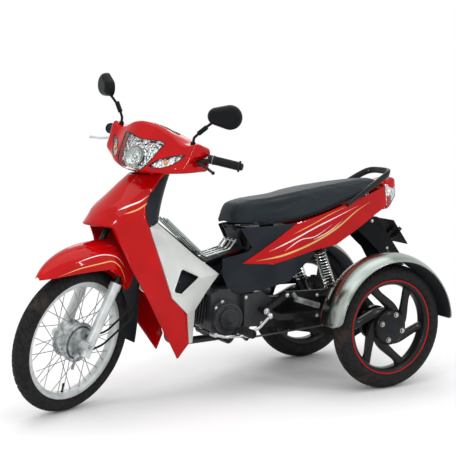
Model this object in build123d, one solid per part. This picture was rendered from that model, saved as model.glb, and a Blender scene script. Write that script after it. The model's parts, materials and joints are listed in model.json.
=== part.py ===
from build123d import *
import os
from math import cos, radians, sin, tan

# Three-wheeled motorcycle: X forward, Y to the rider's left, Z up, millimetres.
# Shapes are drawn with x measured from the front axle when steered straight ahead.
# At the end everything moves so that the origin is on the floor, midway along the machine.

# Driving dimensions
WHEELBASE = 1238.0
TRACK = 616.0
RAKE = 26.5
TRAIL = 70.0
STEER_AT_REST = 24.0
FIT = 0.3
GAP = 0.6
WALL = 4.0

# Front wheel
FRONT_R = 279.0
FRONT_HALF = 35.0
FRONT_FLANGE_R = 227.0
FRONT_WELL_R = 206.0
FRONT_RIM_HALF = 20.5
HUB_R = 72.0
HUB_HALF = 38.0
SPOKE_R = 1.4
AXLE_R = 7.0

# Rear wheels
REAR_R = 250.0
REAR_HALF = 42.0
REAR_FLANGE_R = 190.0
REAR_WELL_R = 168.0
REAR_RIM_HALF = 31.0
REAR_HUB_R = 74.0
SHAFT_R = 12.0

# Steering axis and fork
SIN_RAKE = sin(radians(RAKE))
COS_RAKE = cos(radians(RAKE))
AXIS_FOOT = Vector(TRAIL - FRONT_R * tan(radians(RAKE)), 0, FRONT_R)
AXIS_UP = Vector(-SIN_RAKE, 0, COS_RAKE)
AXIS_FORWARD = Vector(COS_RAKE, 0, SIN_RAKE)
FORK_SIDE = 74.0
FORK_FORWARD = 44.0
SLIDER_R = 19.0
SLIDER_LOW = -72.0
SLIDER_TOP = 222.0
TUBE_R = 13.0
YOKE_LOW = 400.0
YOKE_HIGH = 424.0
STEM_R = 12.5
HEAD_LOW = YOKE_HIGH + 6.0
HEAD_HIGH = 630.0
HEAD_R = 24.0

# Handlebar
BAR_R = 11.0
BAR_Z = 955.0
BAR_X = AXIS_FOOT.X - (BAR_Z - FRONT_R) * tan(radians(RAKE))
GRIP_LENGTH = 104.0
BAR_SHOULDER = Vector(-384, 222, 984)
BAR_END = Vector(-447, 334, 973)


def on_stem(along, forward=0.0, side=0.0):
    return AXIS_FOOT + AXIS_UP * along + AXIS_FORWARD * forward + Vector(0, side, 0)


def turned(shape):
    return shape.rotate(Axis(AXIS_FOOT, AXIS_UP), STEER_AT_REST)


def both(shape):
    return Compound(children=list(shape.solids()) + list(mirror(shape, about=Plane.XZ).solids()))


def rod(start, end, radius, bore=0.0):
    start, end = Vector(start), Vector(end)
    length = (end - start).length
    place = Plane(origin=start, z_dir=end - start)
    body = Cylinder(radius, length, align=(Align.CENTER, Align.CENTER, Align.MIN))
    if bore:
        body -= Cylinder(bore, length, align=(Align.CENTER, Align.CENTER, Align.MIN))
    return place * body


def pipe(points, bend, radius):
    path = FilletPolyline(*points, radius=bend)
    return sweep(Plane(origin=path @ 0, z_dir=path % 0) * Circle(radius), path=path)


def side_prism(outline, y_low, y_high):
    face = make_face(Polyline(*[(x, y_low, z) for x, z in outline], close=True))
    return extrude(face, amount=y_high - y_low, dir=(0, 1, 0))


def front_prism(outline, x_low, x_high):
    face = make_face(Polyline(*[(x_low, y, z) for y, z in outline], close=True))
    return extrude(face, amount=x_high - x_low, dir=(1, 0, 0))


def wheel_ring(outline, centre):
    ring = revolve(make_face(Polyline(*outline, close=True)), Axis.Y)
    return Pos(*centre) * ring


def tyre(centre, outer_r, half, flange_r, rim_half):
    bead = rim_half - 3.0
    shoulder_r = outer_r - 0.55 * half
    belly_r = 0.5 * (outer_r + flange_r) - 4
    edges = [
        ThreePointArc((shoulder_r, -0.9 * half), (outer_r, 0), (shoulder_r, 0.9 * half)),
        ThreePointArc((shoulder_r, 0.9 * half), (belly_r, half), (flange_r + FIT, bead)),
        Line((flange_r + FIT, bead), (flange_r - 9 + FIT, bead)),
        Line((flange_r - 9 + FIT, bead), (flange_r - 9 + FIT, -bead)),
        Line((flange_r - 9 + FIT, -bead), (flange_r + FIT, -bead)),
        ThreePointArc((flange_r + FIT, -bead), (belly_r, -half), (shoulder_r, -0.9 * half)),
    ]
    return Pos(*centre) * revolve(make_face(edges), Axis.Y)


def rim_outline(flange_r, well_r, half):
    lip = half - 2.5
    seat_r = flange_r - 9
    outline = [(well_r, 0.6 * half), (well_r + 8, half), (flange_r, half), (flange_r, lip), (seat_r, lip)]
    return outline + [(r, -y) for r, y in reversed(outline)]


def quad_x(x, z_low, z_high, half_low, half_high, radius):
    corners = [(x, -half_low, z_low), (x, half_low, z_low), (x, half_high, z_high), (x, -half_high, z_high)]
    face = make_face(Polyline(*corners, close=True)).face()
    return face.fillet_2d(radius, face.vertices())


def quad_y(y, corners, radius):
    face = make_face(Polyline(*[(x, y, z) for x, z in corners], close=True)).face()
    return face.fillet_2d(radius, face.vertices())


def wall_section(z, start, end, thickness):
    run = Vector(end[0] - start[0], end[1] - start[1], 0).normalized()
    inward = Vector(run.Y, -run.X, 0)
    inward = inward if inward.Y < 0 else inward * -1
    first, last = Vector(start[0], start[1], z), Vector(end[0], end[1], z)
    return make_face(Polyline(first, last, last + inward * thickness, first + inward * thickness, close=True)).face()


def bow_section(z, end_x, end_y, middle_x, thickness):
    sign = 1 if middle_x > end_x else -1
    inner_y = end_y - thickness
    inner_x = middle_x - sign * thickness * 1.2
    edges = [
        ThreePointArc((end_x, end_y, z), (middle_x, 0, z), (end_x, -end_y, z)),
        Line((end_x, -end_y, z), (end_x, -inner_y, z)),
        ThreePointArc((end_x, -inner_y, z), (inner_x, 0, z), (end_x, inner_y, z)),
        Line((end_x, inner_y, z), (end_x, end_y, z)),
    ]
    return make_face(edges).face()


nodes = {}
steered = {}

# Front wheel
FRONT_CENTRE = (0, 0, FRONT_R)
steered["front_tyre"] = tyre(FRONT_CENTRE, FRONT_R, FRONT_HALF, FRONT_FLANGE_R, FRONT_RIM_HALF)
rim_profile = rim_outline(FRONT_FLANGE_R, FRONT_WELL_R, FRONT_RIM_HALF)
steered["front_rim"] = wheel_ring(rim_profile, FRONT_CENTRE)

hub_profile = [
    (AXLE_R + FIT, -HUB_HALF), (34, -HUB_HALF), (40, -HUB_HALF + 6), (HUB_R, -HUB_HALF + 10),
    (HUB_R, -HUB_HALF + 16), (64, -HUB_HALF + 20), (64, HUB_HALF - 20), (HUB_R + 4, HUB_HALF - 14),
    (HUB_R + 4, HUB_HALF), (64, HUB_HALF), (60, HUB_HALF - 18), (AXLE_R + FIT, HUB_HALF - 18),
]
hub = wheel_ring(hub_profile, (0, 0, 0))
spokes = []
for side in (-1, 1):
    for pair in range(9):
        for lead in (0, 1):
            hub_angle = radians(40 * pair + 20 * lead + 10 * (1 + side))
            rim_angle = hub_angle + radians(35 - 70 * lead)
            hub_y = side * (HUB_HALF - 9 - 3 * lead)
            start = Vector((HUB_R - 6) * cos(hub_angle), hub_y, (HUB_R - 6) * sin(hub_angle))
            stop_r = FRONT_WELL_R - 0.6
            stop = Vector(stop_r * cos(rim_angle), 4 * side, stop_r * sin(rim_angle))
            spokes.append(rod(start, stop, SPOKE_R))
steered["front_hub"] = Pos(*FRONT_CENTRE) * hub.fuse(*spokes)

# Front axle, brake panel and fork
axle_end = FORK_SIDE + SLIDER_R + 8
steered["front_axle"] = rod((0, -axle_end, FRONT_R), (0, axle_end, FRONT_R), AXLE_R)
panel_in = HUB_HALF - 16
panel = rod((0, panel_in, FRONT_R), (0, HUB_HALF + 6, FRONT_R), 58)
panel += rod((0, HUB_HALF + 6, FRONT_R), (0, FORK_SIDE - SLIDER_R - 1, FRONT_R), 20)
panel += rod((26, HUB_HALF, FRONT_R - 40), (26, HUB_HALF + 22, FRONT_R - 40), 9)
panel += rod((26, HUB_HALF + 16, FRONT_R - 40), (40, HUB_HALF + 16, FRONT_R - 92), 5)
steered["brake_panel"] = panel - rod((0, 0, FRONT_R), (0, 100, FRONT_R), AXLE_R + FIT)

sliders = []
for side in (-1, 1):
    leg = rod(on_stem(SLIDER_LOW, FORK_FORWARD, side * FORK_SIDE), on_stem(SLIDER_TOP, FORK_FORWARD, side * FORK_SIDE),
              SLIDER_R)
    leg += rod((0, side * (FORK_SIDE - SLIDER_R), FRONT_R), (0, side * (FORK_SIDE + SLIDER_R), FRONT_R), 17)
    leg += rod(on_stem(SLIDER_TOP - 26, FORK_FORWARD, side * FORK_SIDE),
               on_stem(SLIDER_TOP, FORK_FORWARD, side * FORK_SIDE), SLIDER_R + 3)
    leg -= rod((0, -200, FRONT_R), (0, 200, FRONT_R), AXLE_R + FIT)
    sliders.append(leg.solid())
steered["fork_sliders"] = Compound(children=sliders)

yoke = rod(on_stem(YOKE_LOW), on_stem((BAR_Z - FRONT_R) / COS_RAKE - BAR_R - FIT), STEM_R)
bridge_place = Plane(origin=on_stem(YOKE_LOW, FORK_FORWARD / 2), x_dir=AXIS_FORWARD, z_dir=AXIS_UP)
bridge = Box(FORK_FORWARD + 44, 2 * FORK_SIDE + 44, YOKE_HIGH - YOKE_LOW, align=(Align.CENTER, Align.CENTER, Align.MIN))
yoke += bridge_place * bridge
for side in (-1, 1):
    yoke += rod(on_stem(SLIDER_TOP + FIT, FORK_FORWARD, side * FORK_SIDE),
                on_stem(YOKE_HIGH, FORK_FORWARD, side * FORK_SIDE), TUBE_R)
steered["fork_yoke"] = yoke

# Front fender: arch sections across the wheel
FENDER = [
    # x, ridge z, edge z, half width
    (198, 558, 548, 12),
    (100, 622, 562, 58),
    (0, 644, 568, 82),
    (-100, 646, 566, 99),
    (-192, 640, 566, 99),
]


def arch_section(x, ridge, edge, half, thickness):
    edges = [
        ThreePointArc((x, -half, edge), (x, 0, ridge), (x, half, edge)),
        Line((x, half, edge), (x, half - thickness, edge)),
        ThreePointArc((x, half - thickness, edge), (x, 0, ridge - thickness), (x, -half + thickness, edge)),
        Line((x, -half + thickness, edge), (x, -half, edge)),
    ]
    return make_face(edges).face()


fender = loft([arch_section(x, ridge, edge, half, 3) for x, ridge, edge, half in FENDER])
cheek = side_prism([(-62, 566.5), (-192, 566.5), (-186, 500), (-170, 476), (-152, 478), (-128, 530)], 95.9, 98.9)
fender += cheek + mirror(cheek, about=Plane.XZ)
for side in (-1, 1):
    fender -= rod(on_stem(SLIDER_TOP - 30, FORK_FORWARD, side * FORK_SIDE),
                  on_stem(YOKE_HIGH + 30, FORK_FORWARD, side * FORK_SIDE), TUBE_R + FIT)
steered["front_fender"] = fender

flap_top, flap_mid, flap_low = (-229, 652), (-292, 430), (-298, 214)
flap_edges = [
    ThreePointArc((flap_top[0], -42, flap_top[1]), (flap_mid[0], -42, flap_mid[1]), (flap_low[0], -42, flap_low[1])),
    Line((flap_low[0], -42, flap_low[1]), (flap_low[0] - 4, -42, flap_low[1])),
    ThreePointArc((flap_low[0] - 4, -42, flap_low[1]), (flap_mid[0] - 4, -42, flap_mid[1]),
                  (flap_top[0] - 4, -42, flap_top[1])),
    Line((flap_top[0] - 4, -42, flap_top[1]), (flap_top[0], -42, flap_top[1])),
]
flap = extrude(make_face(flap_edges), amount=84, dir=(0, 1, 0))
steered["mud_flap"] = flap - steered["fork_yoke"]

# Handlebar, grips and levers
bar_points = [BAR_END, BAR_SHOULDER, Vector(BAR_X, 60, BAR_Z), Vector(BAR_X, -60, BAR_Z),
              Vector(BAR_SHOULDER.X, -BAR_SHOULDER.Y, BAR_SHOULDER.Z), Vector(BAR_END.X, -BAR_END.Y, BAR_END.Z)]
steered["handlebar"] = pipe(bar_points, 45, BAR_R)
bar_out = (BAR_END - BAR_SHOULDER).normalized()
bar_front = bar_out.cross(Vector(0, 0, 1)).normalized()
grip = rod(BAR_END + bar_out * 2 - bar_out * GRIP_LENGTH, BAR_END + bar_out * 2, 16, BAR_R + FIT)
grip += rod(BAR_END - bar_out * 4, BAR_END + bar_out * 2, 21, BAR_R + FIT)
steered["grips"] = both(grip)

# Handle cowl, headlamp and front signals, cut from one outer form
COWL = [
    # y, front foot, front top, rear top, rear foot (x, z), corner radius
    (0, (-202, 901), (-300, 1082), (-428, 1036), (-432, 906), 18),
    (75, (-210, 906), (-305, 1070), (-428, 1032), (-430, 908), 18),
    (130, (-242, 914), (-318, 1038), (-426, 1024), (-428, 914), 16),
    (185, (-280, 925), (-328, 1031), (-420, 1018), (-420, 922), 16),
    (224, (-342, 936), (-354, 1018), (-402, 1010), (-402, 936), 12),
]
cowl_rows = [(-row[0],) + row[1:] for row in reversed(COWL[1:])] + COWL
cowl = loft([quad_y(row[0], row[1:5], row[5]) for row in cowl_rows])
LAMP = [(-100, 1020), (-78, 1027), (0, 1019), (78, 1027), (100, 1020), (92, 997), (82, 966), (73, 938), (50, 914),
        (28, 890), (-28, 890), (-50, 914), (-73, 938), (-82, 966), (-92, 997)]
SIGNAL = [(81, 937), (96, 960), (136, 980), (181, 994), (175, 977), (148, 949), (126, 938), (100, 933)]
NOTCH = [(202, 972), (214, 990), (240, 1004), (240, 952), (214, 958)]
lamp_region = front_prism(LAMP, -350, -160)
signal_core = Pos(-16, 0, 0) * cowl
lamp_core = Pos(-30, 0, 0) * cowl
lamp_room = lamp_region - lamp_core
signal_room = mirror(front_prism(SIGNAL, -380, -160), about=Plane.XZ) - signal_core
headlamp = cowl & lamp_room
signals = both(cowl & signal_room)
notch = front_prism(NOTCH, -394, -200)
cowl_body = cowl - lamp_room
for room in (signal_room, notch):
    cowl_body = cowl_body - room - mirror(room, about=Plane.XZ)
cowl_body -= pipe(bar_points, 45, BAR_R + FIT)
cowl_body -= rod(on_stem(HEAD_HIGH), on_stem((BAR_Z - FRONT_R) / COS_RAKE), STEM_R + FIT)

# Levers on their perches at the ends of the cowl
LEVER = [
    # name, points with y to the left
    ("lever_left", [Vector(-352, 212, 974), Vector(-336, 226, 971), Vector(-342, 262, 962), Vector(-350, 290, 948)]),
    ("lever_right", [Vector(-352, 212, 974), Vector(-340, 232, 966), Vector(-352, 290, 950), Vector(-370, 362, 938)]),
]
perch_mid = BAR_END - bar_out * (GRIP_LENGTH + 8)
perch = rod(perch_mid - bar_out * 9, perch_mid + bar_out * 7, 17, BAR_R + FIT)
perch += rod(perch_mid - bar_out * 2 + bar_front * 14, LEVER[0][1][0] + Vector(0, 8, -1), 7)
for name, points in LEVER:
    lever = perch + pipe(points, 10, 5) + Pos(*points[-1]) * Sphere(7)
    lever = lever - cowl_body - pipe(bar_points, 45, BAR_R + FIT)
    lever = lever.solids().sort_by(SortBy.VOLUME)[-1]
    steered[name] = lever if name == "lever_left" else mirror(lever, about=Plane.XZ)
steered["handle_cowl"] = cowl_body
steered["headlamp"] = headlamp
steered["front_signals"] = signals

# Mirrors, each head an egg shape toed in
MIRROR = Vector(-364, 300, 1157)
MIRROR_TOE = 25.0
mirror_out = Vector(-sin(radians(MIRROR_TOE)), cos(radians(MIRROR_TOE)), 0)
mirror_ahead = Vector(cos(radians(MIRROR_TOE)), sin(radians(MIRROR_TOE)), 0)


def mirror_section(depth, scale):
    round_out = Pos(19 * scale, 0) * Circle(45 * scale)
    round_in = Pos(-32 * scale, -4 * scale) * Circle(32 * scale)
    outline = make_hull(round_out.edges() + round_in.edges())
    return Plane(origin=MIRROR + mirror_ahead * depth, x_dir=mirror_out, z_dir=mirror_ahead) * outline


shell = loft([mirror_section(-14, 1), mirror_section(4, 0.95), mirror_section(20, 0.6)])
glass = extrude(mirror_section(-14, 0.92), amount=3, dir=mirror_ahead)
shell -= glass
STEM_FOOT = Vector(-346, 182, 1004)
stem_path = [STEM_FOOT, STEM_FOOT + Vector(-2, 2, 52), Vector(-356, 214, 1092), MIRROR - mirror_out * 34 + Vector(0, 0, -20)]
stem = pipe(stem_path, 10, 5) + rod(STEM_FOOT, STEM_FOOT + Vector(-1, 1, 36), 9)
stem += rod(Vector(-352, 200, 1075), Vector(-359, 228, 1104), 9)
shell = shell + (stem - glass) - cowl
shell = shell.solids().sort_by(SortBy.VOLUME)[-1]
steered["mirrors"] = both(shell)
steered["mirror_glass"] = both(glass)

# Front cables on the fork
cable_y = HUB_HALF + 6 + 4 + FIT
cable_low = [Vector(-5, cable_y, 232), Vector(-118, cable_y + 2, 250), Vector(-232, 84, 350),
             Vector(-262, 70, 520), on_stem(YOKE_LOW - 0.3, -8, 52)]
cable_high = [Vector(-30, cable_y, 296), Vector(-128, cable_y + 2, 300), Vector(-222, 90, 400),
              Vector(-246, 84, 540), on_stem(YOKE_LOW - 0.3, -2, 78)]
cables = [(pipe(line, 60, 4) - yoke).solid() for line in (cable_low, cable_high)]
steered["front_cables"] = Compound(children=cables)

# Frame spine
spine = rod(on_stem(HEAD_LOW), on_stem(HEAD_HIGH), HEAD_R)
spine += pipe([on_stem(HEAD_LOW + 45), Vector(-555, 0, 450), Vector(-715, 0, 440)], 70, 22)
RAIL_SIDE = 90.0
RAIL_R = 12.0
SHOCK_TOP = Vector(-1035, 108, 568)
for side in (-1, 1):
    spine += pipe([Vector(-660, side * 22, 446), Vector(-730, side * RAIL_SIDE, 500),
                   Vector(-1000, side * RAIL_SIDE, 604), Vector(-1330, side * 52, 668)], 40, RAIL_R)
    spine += rod((SHOCK_TOP.X, side * 88, SHOCK_TOP.Z), (SHOCK_TOP.X, side * 124, SHOCK_TOP.Z), 6)
    spine += Pos(SHOCK_TOP.X, side * 91, SHOCK_TOP.Z + 20) * Box(26, 6, 56)

# Front cover, inner shield, leg shields and side panels
COVER = [
    # z, side x, side y, nose x, back x
    (700, -264, 147, -73, -358),
    (772, -265, 130, -140, -376),
    (847, -329, 90, -222, -405),
    (879, -386, 62, -262, -420),
]
nodes["front_cover"] = loft([bow_section(z, side_x, side_y, nose_x, WALL) for z, side_x, side_y, nose_x, back in COVER])
nodes["front_cover"] -= side_prism([(-200, 699), (-90, 716), (-40, 722), (-40, 690), (-200, 690)], -200, 200)
nodes["inner_shield"] = loft([bow_section(z, side_x - GAP, side_y, back, WALL)
                              for z, side_x, side_y, nose_x, back in COVER])

FIN = [
    # z, front x, front y, rear x, rear y
    (699.4, -128, 108, -264, 147),
    (640, -160, 106, -281, 156),
    (600, -168, 140, -292, 161),
    (552, -181, 165, -305, 168),
    (420, -256, 158, -350, 162),
    (350, -296, 140, -424, 143),
    (226, -372, 108, -446, 112),
    (170, -405, 92, -411, 92.5),
]
fin = loft([wall_section(z, (fx, fy), (rx, ry), WALL) for z, fx, fy, rx, ry in FIN], ruled=True)
nodes["leg_shields"] = both(fin)

TUNNEL_HALF = 47.0
PANEL = [
    # z, inner x, inner y
    (690, -352, TUNNEL_HALF + GAP),
    (552, -512, TUNNEL_HALF + GAP),
    (474, -616, TUNNEL_HALF + GAP),
    (420, -552, 70),
    (350, -484, 94),
    (226, -470, 98),
]


def fin_rear(z):
    for upper, lower in zip(FIN, FIN[1:]):
        if lower[0] <= z <= upper[0]:
            share = (z - lower[0]) / (upper[0] - lower[0])
            return (lower[3] + share * (upper[3] - lower[3]), lower[4] + share * (upper[4] - lower[4]))


panel_rows = []
for z, inner_x, inner_y in PANEL:
    edge_x, edge_y = fin_rear(z)
    panel_rows.append(wall_section(z, (edge_x - WALL, edge_y - GAP), (inner_x, inner_y), WALL))
panel = loft(panel_rows, ruled=True)
VENT = [(-414, 520), (-504, 478), (-405, 428), (-361, 442)]
panel -= side_prism(VENT, 0, 300)
nodes["side_panels"] = both(panel)

# Tunnel cover with the seat's hinge ears
TUNNEL = [(-353, 690), (-556, 526), (-722, 570), (-690, 648)]
tunnel_line = offset(Polyline(*[(x, z) for x, z in TUNNEL]), amount=WALL / 2, side=Side.BOTH, kind=Kind.INTERSECTION)
tunnel_face = Plane.XZ * make_face(tunnel_line)
tunnel = extrude(Pos(0, -TUNNEL_HALF, 0) * tunnel_face, amount=2 * TUNNEL_HALF, dir=(0, 1, 0))
HINGE = Vector(-684, 0, 657)
EAR = [(-677, 650), (-677, 664), (-691, 664), (-702, 648), (-700, 630)]
for side in (-1, 1):
    tunnel += side_prism(EAR, side * 36 - 4, side * 36 + 4)
tunnel += rod((HINGE.X, -38, HINGE.Z), (HINGE.X, 38, HINGE.Z), 5)
nodes["tunnel_cover"] = tunnel

# Stays from the spine to the covers
cover_stay = rod((-300, -150, 740), (-300, 150, 740), 6) - nodes["inner_shield"]
tunnel_stay = rod((-500, 0, 505), (-500, 0, 600), 9) - tunnel
spine += cover_stay.solids().sort_by(Axis.Y)[1] + tunnel_stay.solids().sort_by(Axis.Z)[0]
spine -= rod(on_stem(HEAD_LOW - 5), on_stem(HEAD_HIGH + 5), STEM_R + FIT)
nodes["frame_spine"] = spine

# Seat
SEAT = [
    # x, bottom z, top z, half width below, half width above, corner radius
    (-668, 671, 700, 58, 40, 10),
    (-704, 671, 745, 90, 58, 22),
    (-790, 672, 753, 116, 80, 26),
    (-880, 678, 761, 126, 88, 26),
    (-985, 693, 778, 132, 92, 26),
    (-1070, 715, 789, 126, 88, 26),
    (-1190, 747, 801, 109, 78, 20),
    (-1300, 775, 807, 89, 62, 14),
    (-1370, 792, 812, 70, 48, 8),
]
seat = loft([quad_x(*row) for row in SEAT])
seat += side_prism([(-678, 655), (-680, 690), (-692, 690), (-690, 655)], -28, 28)
seat += rod((HINGE.X, -28, HINGE.Z), (HINGE.X, 28, HINGE.Z), 8)
nodes["seat"] = seat - rod((HINGE.X, -60, HINGE.Z), (HINGE.X, 60, HINGE.Z), 5 + FIT)

# Rear bodywork, cut from one outer form
BODY = [
    # x, low z, high z, half width low, half width high
    (-560, 395, 600, 58, 50),
    (-700, 385, 662, 105, 95),
    (-850, 400, 668, 138, 122),
    (-1000, 470, 689, 142, 126),
    (-1150, 555, 729, 132, 114),
    (-1300, 640, 767, 106, 90),
    (-1420, 695, 800, 74, 60),
    (-1470, 735, 806, 46, 40),
]
body_outer = loft([quad_x(x, low, high, half_low, half_high, 18) for x, low, high, half_low, half_high in BODY])
body_inner = loft([quad_x(x, low - 60, high + 60, half_low - WALL, half_high - WALL, 18)
                   for x, low, high, half_low, half_high in BODY])
body_wall = body_outer - body_inner
RED = [(-692, 516), (-820, 508), (-995, 549), (-1113, 566), (-1334, 673), (-1400, 700), (-1400, 800), (-1350, 785),
       (-1186, 738), (-946, 676)]
BLACK = [(-682, 664), (-860, 668), (-944, 677), (-688, 517), (-820, 507), (-993, 548), (-1005, 537), (-958, 500),
         (-882, 435), (-804, 418), (-646, 389), (-619, 472), (-619, 536), (-715, 561), (-732, 577)]
nodes["body_covers"] = both(body_wall & side_prism(RED, 0, 300))
red_zone = offset(make_face(Polyline(*[(x, 0, z) for x, z in RED], close=True)), amount=GAP, kind=Kind.INTERSECTION)
red_zone = extrude(red_zone, amount=300, dir=(0, 1, 0))
nodes["centre_covers"] = both((body_wall & side_prism(BLACK, 0, 300)) - red_zone)

# Tail lamp, rear signals, grab rail
tail = body_outer & side_prism([(-1400.6, 600), (-1500, 600), (-1500, 790), (-1400.6, 790)], -300, 300)
lamp_half = 46.0
tail_lamp = tail & Pos(-1450, 0, 700) * Box(200, 2 * lamp_half, 400)
nodes["tail_lamp"] = tail_lamp
rear_signals = tail - Pos(-1450, 0, 700) * Box(200, 2 * lamp_half + 2 * FIT, 400)
nodes["rear_signals"] = Compound(children=list(rear_signals.solids()))

GRAB = [Vector(-1172, 118, 722), Vector(-1405, 78, 835), Vector(-1425, 40, 842)]
grab = pipe(GRAB + [Vector(point.X, -point.Y, point.Z) for point in reversed(GRAB)], 16, 10)
nodes["grab_rail"] = grab
nodes["body_covers"] = Compound(children=[(cover - grab).solids().sort_by(SortBy.VOLUME)[-1]
                                          for cover in nodes["body_covers"].solids()])

# Rear mudguard and plate carrier
MUDGUARD = [(-1253, 622), (-1330, 656), (-1368, 656), (-1484, 498), (-1510, 440), (-1420, 440), (-1375, 514)]
HOLLOW = [(-1200, 560), (-1330, 651), (-1365, 651), (-1480, 496), (-1505, 430), (-1380, 400)]
mudguard = side_prism(MUDGUARD, -62, 62) - side_prism(HOLLOW, -58, 58)
nodes["rear_mudguard"] = mudguard - nodes["frame_spine"]
PLATE_TOP = Vector(-1430, 0, 640)
PLATE_LOW = Vector(-1506, 0, 535)
plate_run = (PLATE_LOW - PLATE_TOP).normalized()
plate_place = Plane(origin=(PLATE_TOP + PLATE_LOW) * 0.5, x_dir=(0, 1, 0), z_dir=plate_run.cross(Vector(0, 1, 0)))
plate = Box(180, (PLATE_LOW - PLATE_TOP).length, 3)
for side in (-1, 1):
    plate -= Pos(side * 60, 20, 0) * Cylinder(3.2, 20)
    plate += Pos(side * 30, -20, -20) * Cylinder(9, 40)
    plate += Pos(side * 30, -20, 20) * Cylinder(9, 40)
plate = plate_place * plate
plate -= side_prism(MUDGUARD, -62, 62)
nodes["plate_carrier"] = plate

# Fuel tank between the rails
tank_half = RAIL_SIDE - RAIL_R - FIT
tank = Pos(-840, 0, 600) * Box(220, 2 * tank_half, 96)
nodes["fuel_tank"] = fillet(tank.edges(), 14) + rod((-860, 0, 640), (-860, 0, 660), 30)

# Engine
CASE = [(-560, 262), (-600, 236), (-700, 232), (-752, 268), (-752, 398), (-700, 417.7), (-600, 417.7), (-560, 400)]
case = side_prism(CASE, -84, 84)
case += rod((-622, -84, 306), (-622, -128, 306), 66)
nodes["crankcase"] = case
nodes["centre_covers"] = Compound(children=list((nodes["centre_covers"] - case).solids()))
cylinder_place = Plane(origin=(-559.7, 0, 332), x_dir=(0, 1, 0), z_dir=(cos(radians(8)), 0, sin(radians(8))))
barrel = Cylinder(44, 168, align=(Align.CENTER, Align.CENTER, Align.MIN))
for index in range(7):
    barrel += Pos(0, 0, 12 + 12 * index) * Box(112, 106, 3.5)
barrel += Pos(0, 0, 132) * Box(112, 100, 56)
cylinder_shape = cylinder_place * barrel
nodes["cylinder"] = cylinder_shape & Pos(-400, 0, 332) * Box(2 * 159.6, 400, 400)
LOBE = [(-562, 322), (-568, 362), (-596, 380), (-640, 372), (-640, 300)]
nodes["generator_cover"] = rod((-624, 84.3, 306), (-624, 112, 306), 62) + rod((-624, 112, 306), (-624, 120, 306), 40)
nodes["generator_cover"] += side_prism(LOBE, 84.3, 103)
SPROCKET = [(-690, 268), (-760, 262), (-820, 300), (-822, 366), (-780, 396), (-694, 396)]
nodes["sprocket_cover"] = side_prism(SPROCKET, 86, 114)

# Exhaust on the right
EXHAUST_Z = 188.0
exhaust = pipe([Vector(-440, -30, 312), Vector(-434, -50, 216), Vector(-540, -90, EXHAUST_Z),
                Vector(-740, -100, EXHAUST_Z), Vector(-830, -196, 238)], 30, 15)
exhaust += rod((-822, -190, 234), (-860, -199, 241), 24) + rod((-852, -200, 241), (-1160, -200, 262), 36)
exhaust += rod((-1160, -200, 262), (-1180, -200, 263), 12)
nodes["exhaust"] = exhaust - cylinder_shape

# Step bar, pegs and pedals
STEP_Z = 220.0
PEG = Vector(-640, 262, 272)
step = pipe([PEG, Vector(PEG.X, 150, PEG.Z), Vector(-612, 134, STEP_Z), Vector(-612, -134, STEP_Z),
             Vector(PEG.X, -150, PEG.Z), Vector(PEG.X, -PEG.Y, PEG.Z)], 18, 9)
PLATE_BACK = -685.0
step += Pos(0.5 * (PLATE_BACK - 590), 0, STEP_Z + 8) * Box(-590 - PLATE_BACK, 120, 20)
step -= case
nodes["step_bar"] = step
nodes["foot_pegs"] = both(rod((PEG.X, 180, PEG.Z), (PEG.X, PEG.Y + 4, PEG.Z), 17, 9 + FIT))
PEDAL_Y = 169.0
pedal = pipe([Vector(-520, PEDAL_Y, 266), Vector(-575, PEDAL_Y, 250), Vector(-668, PEDAL_Y, 246),
              Vector(-730, PEDAL_Y, 272), Vector(-776, PEDAL_Y, 312)], 16, 6)
pedal += rod((-524, PEDAL_Y - 18, 266), (-524, PEDAL_Y + 18, 266), 9) + Pos(-776, PEDAL_Y, 312) * Sphere(13)
pedal += rod((-668, 84 + FIT, 246), (-668, PEDAL_Y + 4, 246), 9)
nodes["gear_pedal"] = pedal
CROSS = Vector(PLATE_BACK - 6 - FIT, 0, 225)
brake = rod((CROSS.X, -156, CROSS.Z), (CROSS.X, 138, CROSS.Z), 6)
brake += pipe([Vector(CROSS.X, -150, CROSS.Z), Vector(-600, -168, 228), Vector(-540, -168, 268)], 20, 7)
brake += Pos(-538, -168, 274) * Box(44, 36, 8)
nodes["brake_pedal"] = brake
kick = rod((-690, -84 - FIT, 330), (-690, -140, 330), 10)
kick += pipe([Vector(-690, -134, 330), Vector(-720, -142, 420), Vector(-760, -150, 470)], 20, 8)
kick += rod((-760, -146, 468), (-760, -215, 468), 9)
nodes["kick_starter"] = kick - case

# Centre rack of bent wire
wires = []
for y in (-44, -15, 15, 44):
    wires.append(pipe([Vector(-390, y, 705), Vector(-557, y, 547), Vector(-664, y, 568), Vector(-694, y, 604)], 20, 4))
rack = wires[0].fuse(*wires[1:])
RACK_CROSS = [(-400, 695.5), (-473.5, 626), (-535.3, 567.5), (-610, 557.4), (-689.5, 598.6)]
for x, z in RACK_CROSS:
    rack += rod((x, -47, z - 1.6), (x, 47, z - 1.6), 3.2)
for y in (-15, 15):
    rack += rod((-535.3, y, 566), (-535.3, y, 530), 3.4)
nodes["centre_rack"] = (rack - nodes["tunnel_cover"]).solids().sort_by(SortBy.VOLUME)[-1]

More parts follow.
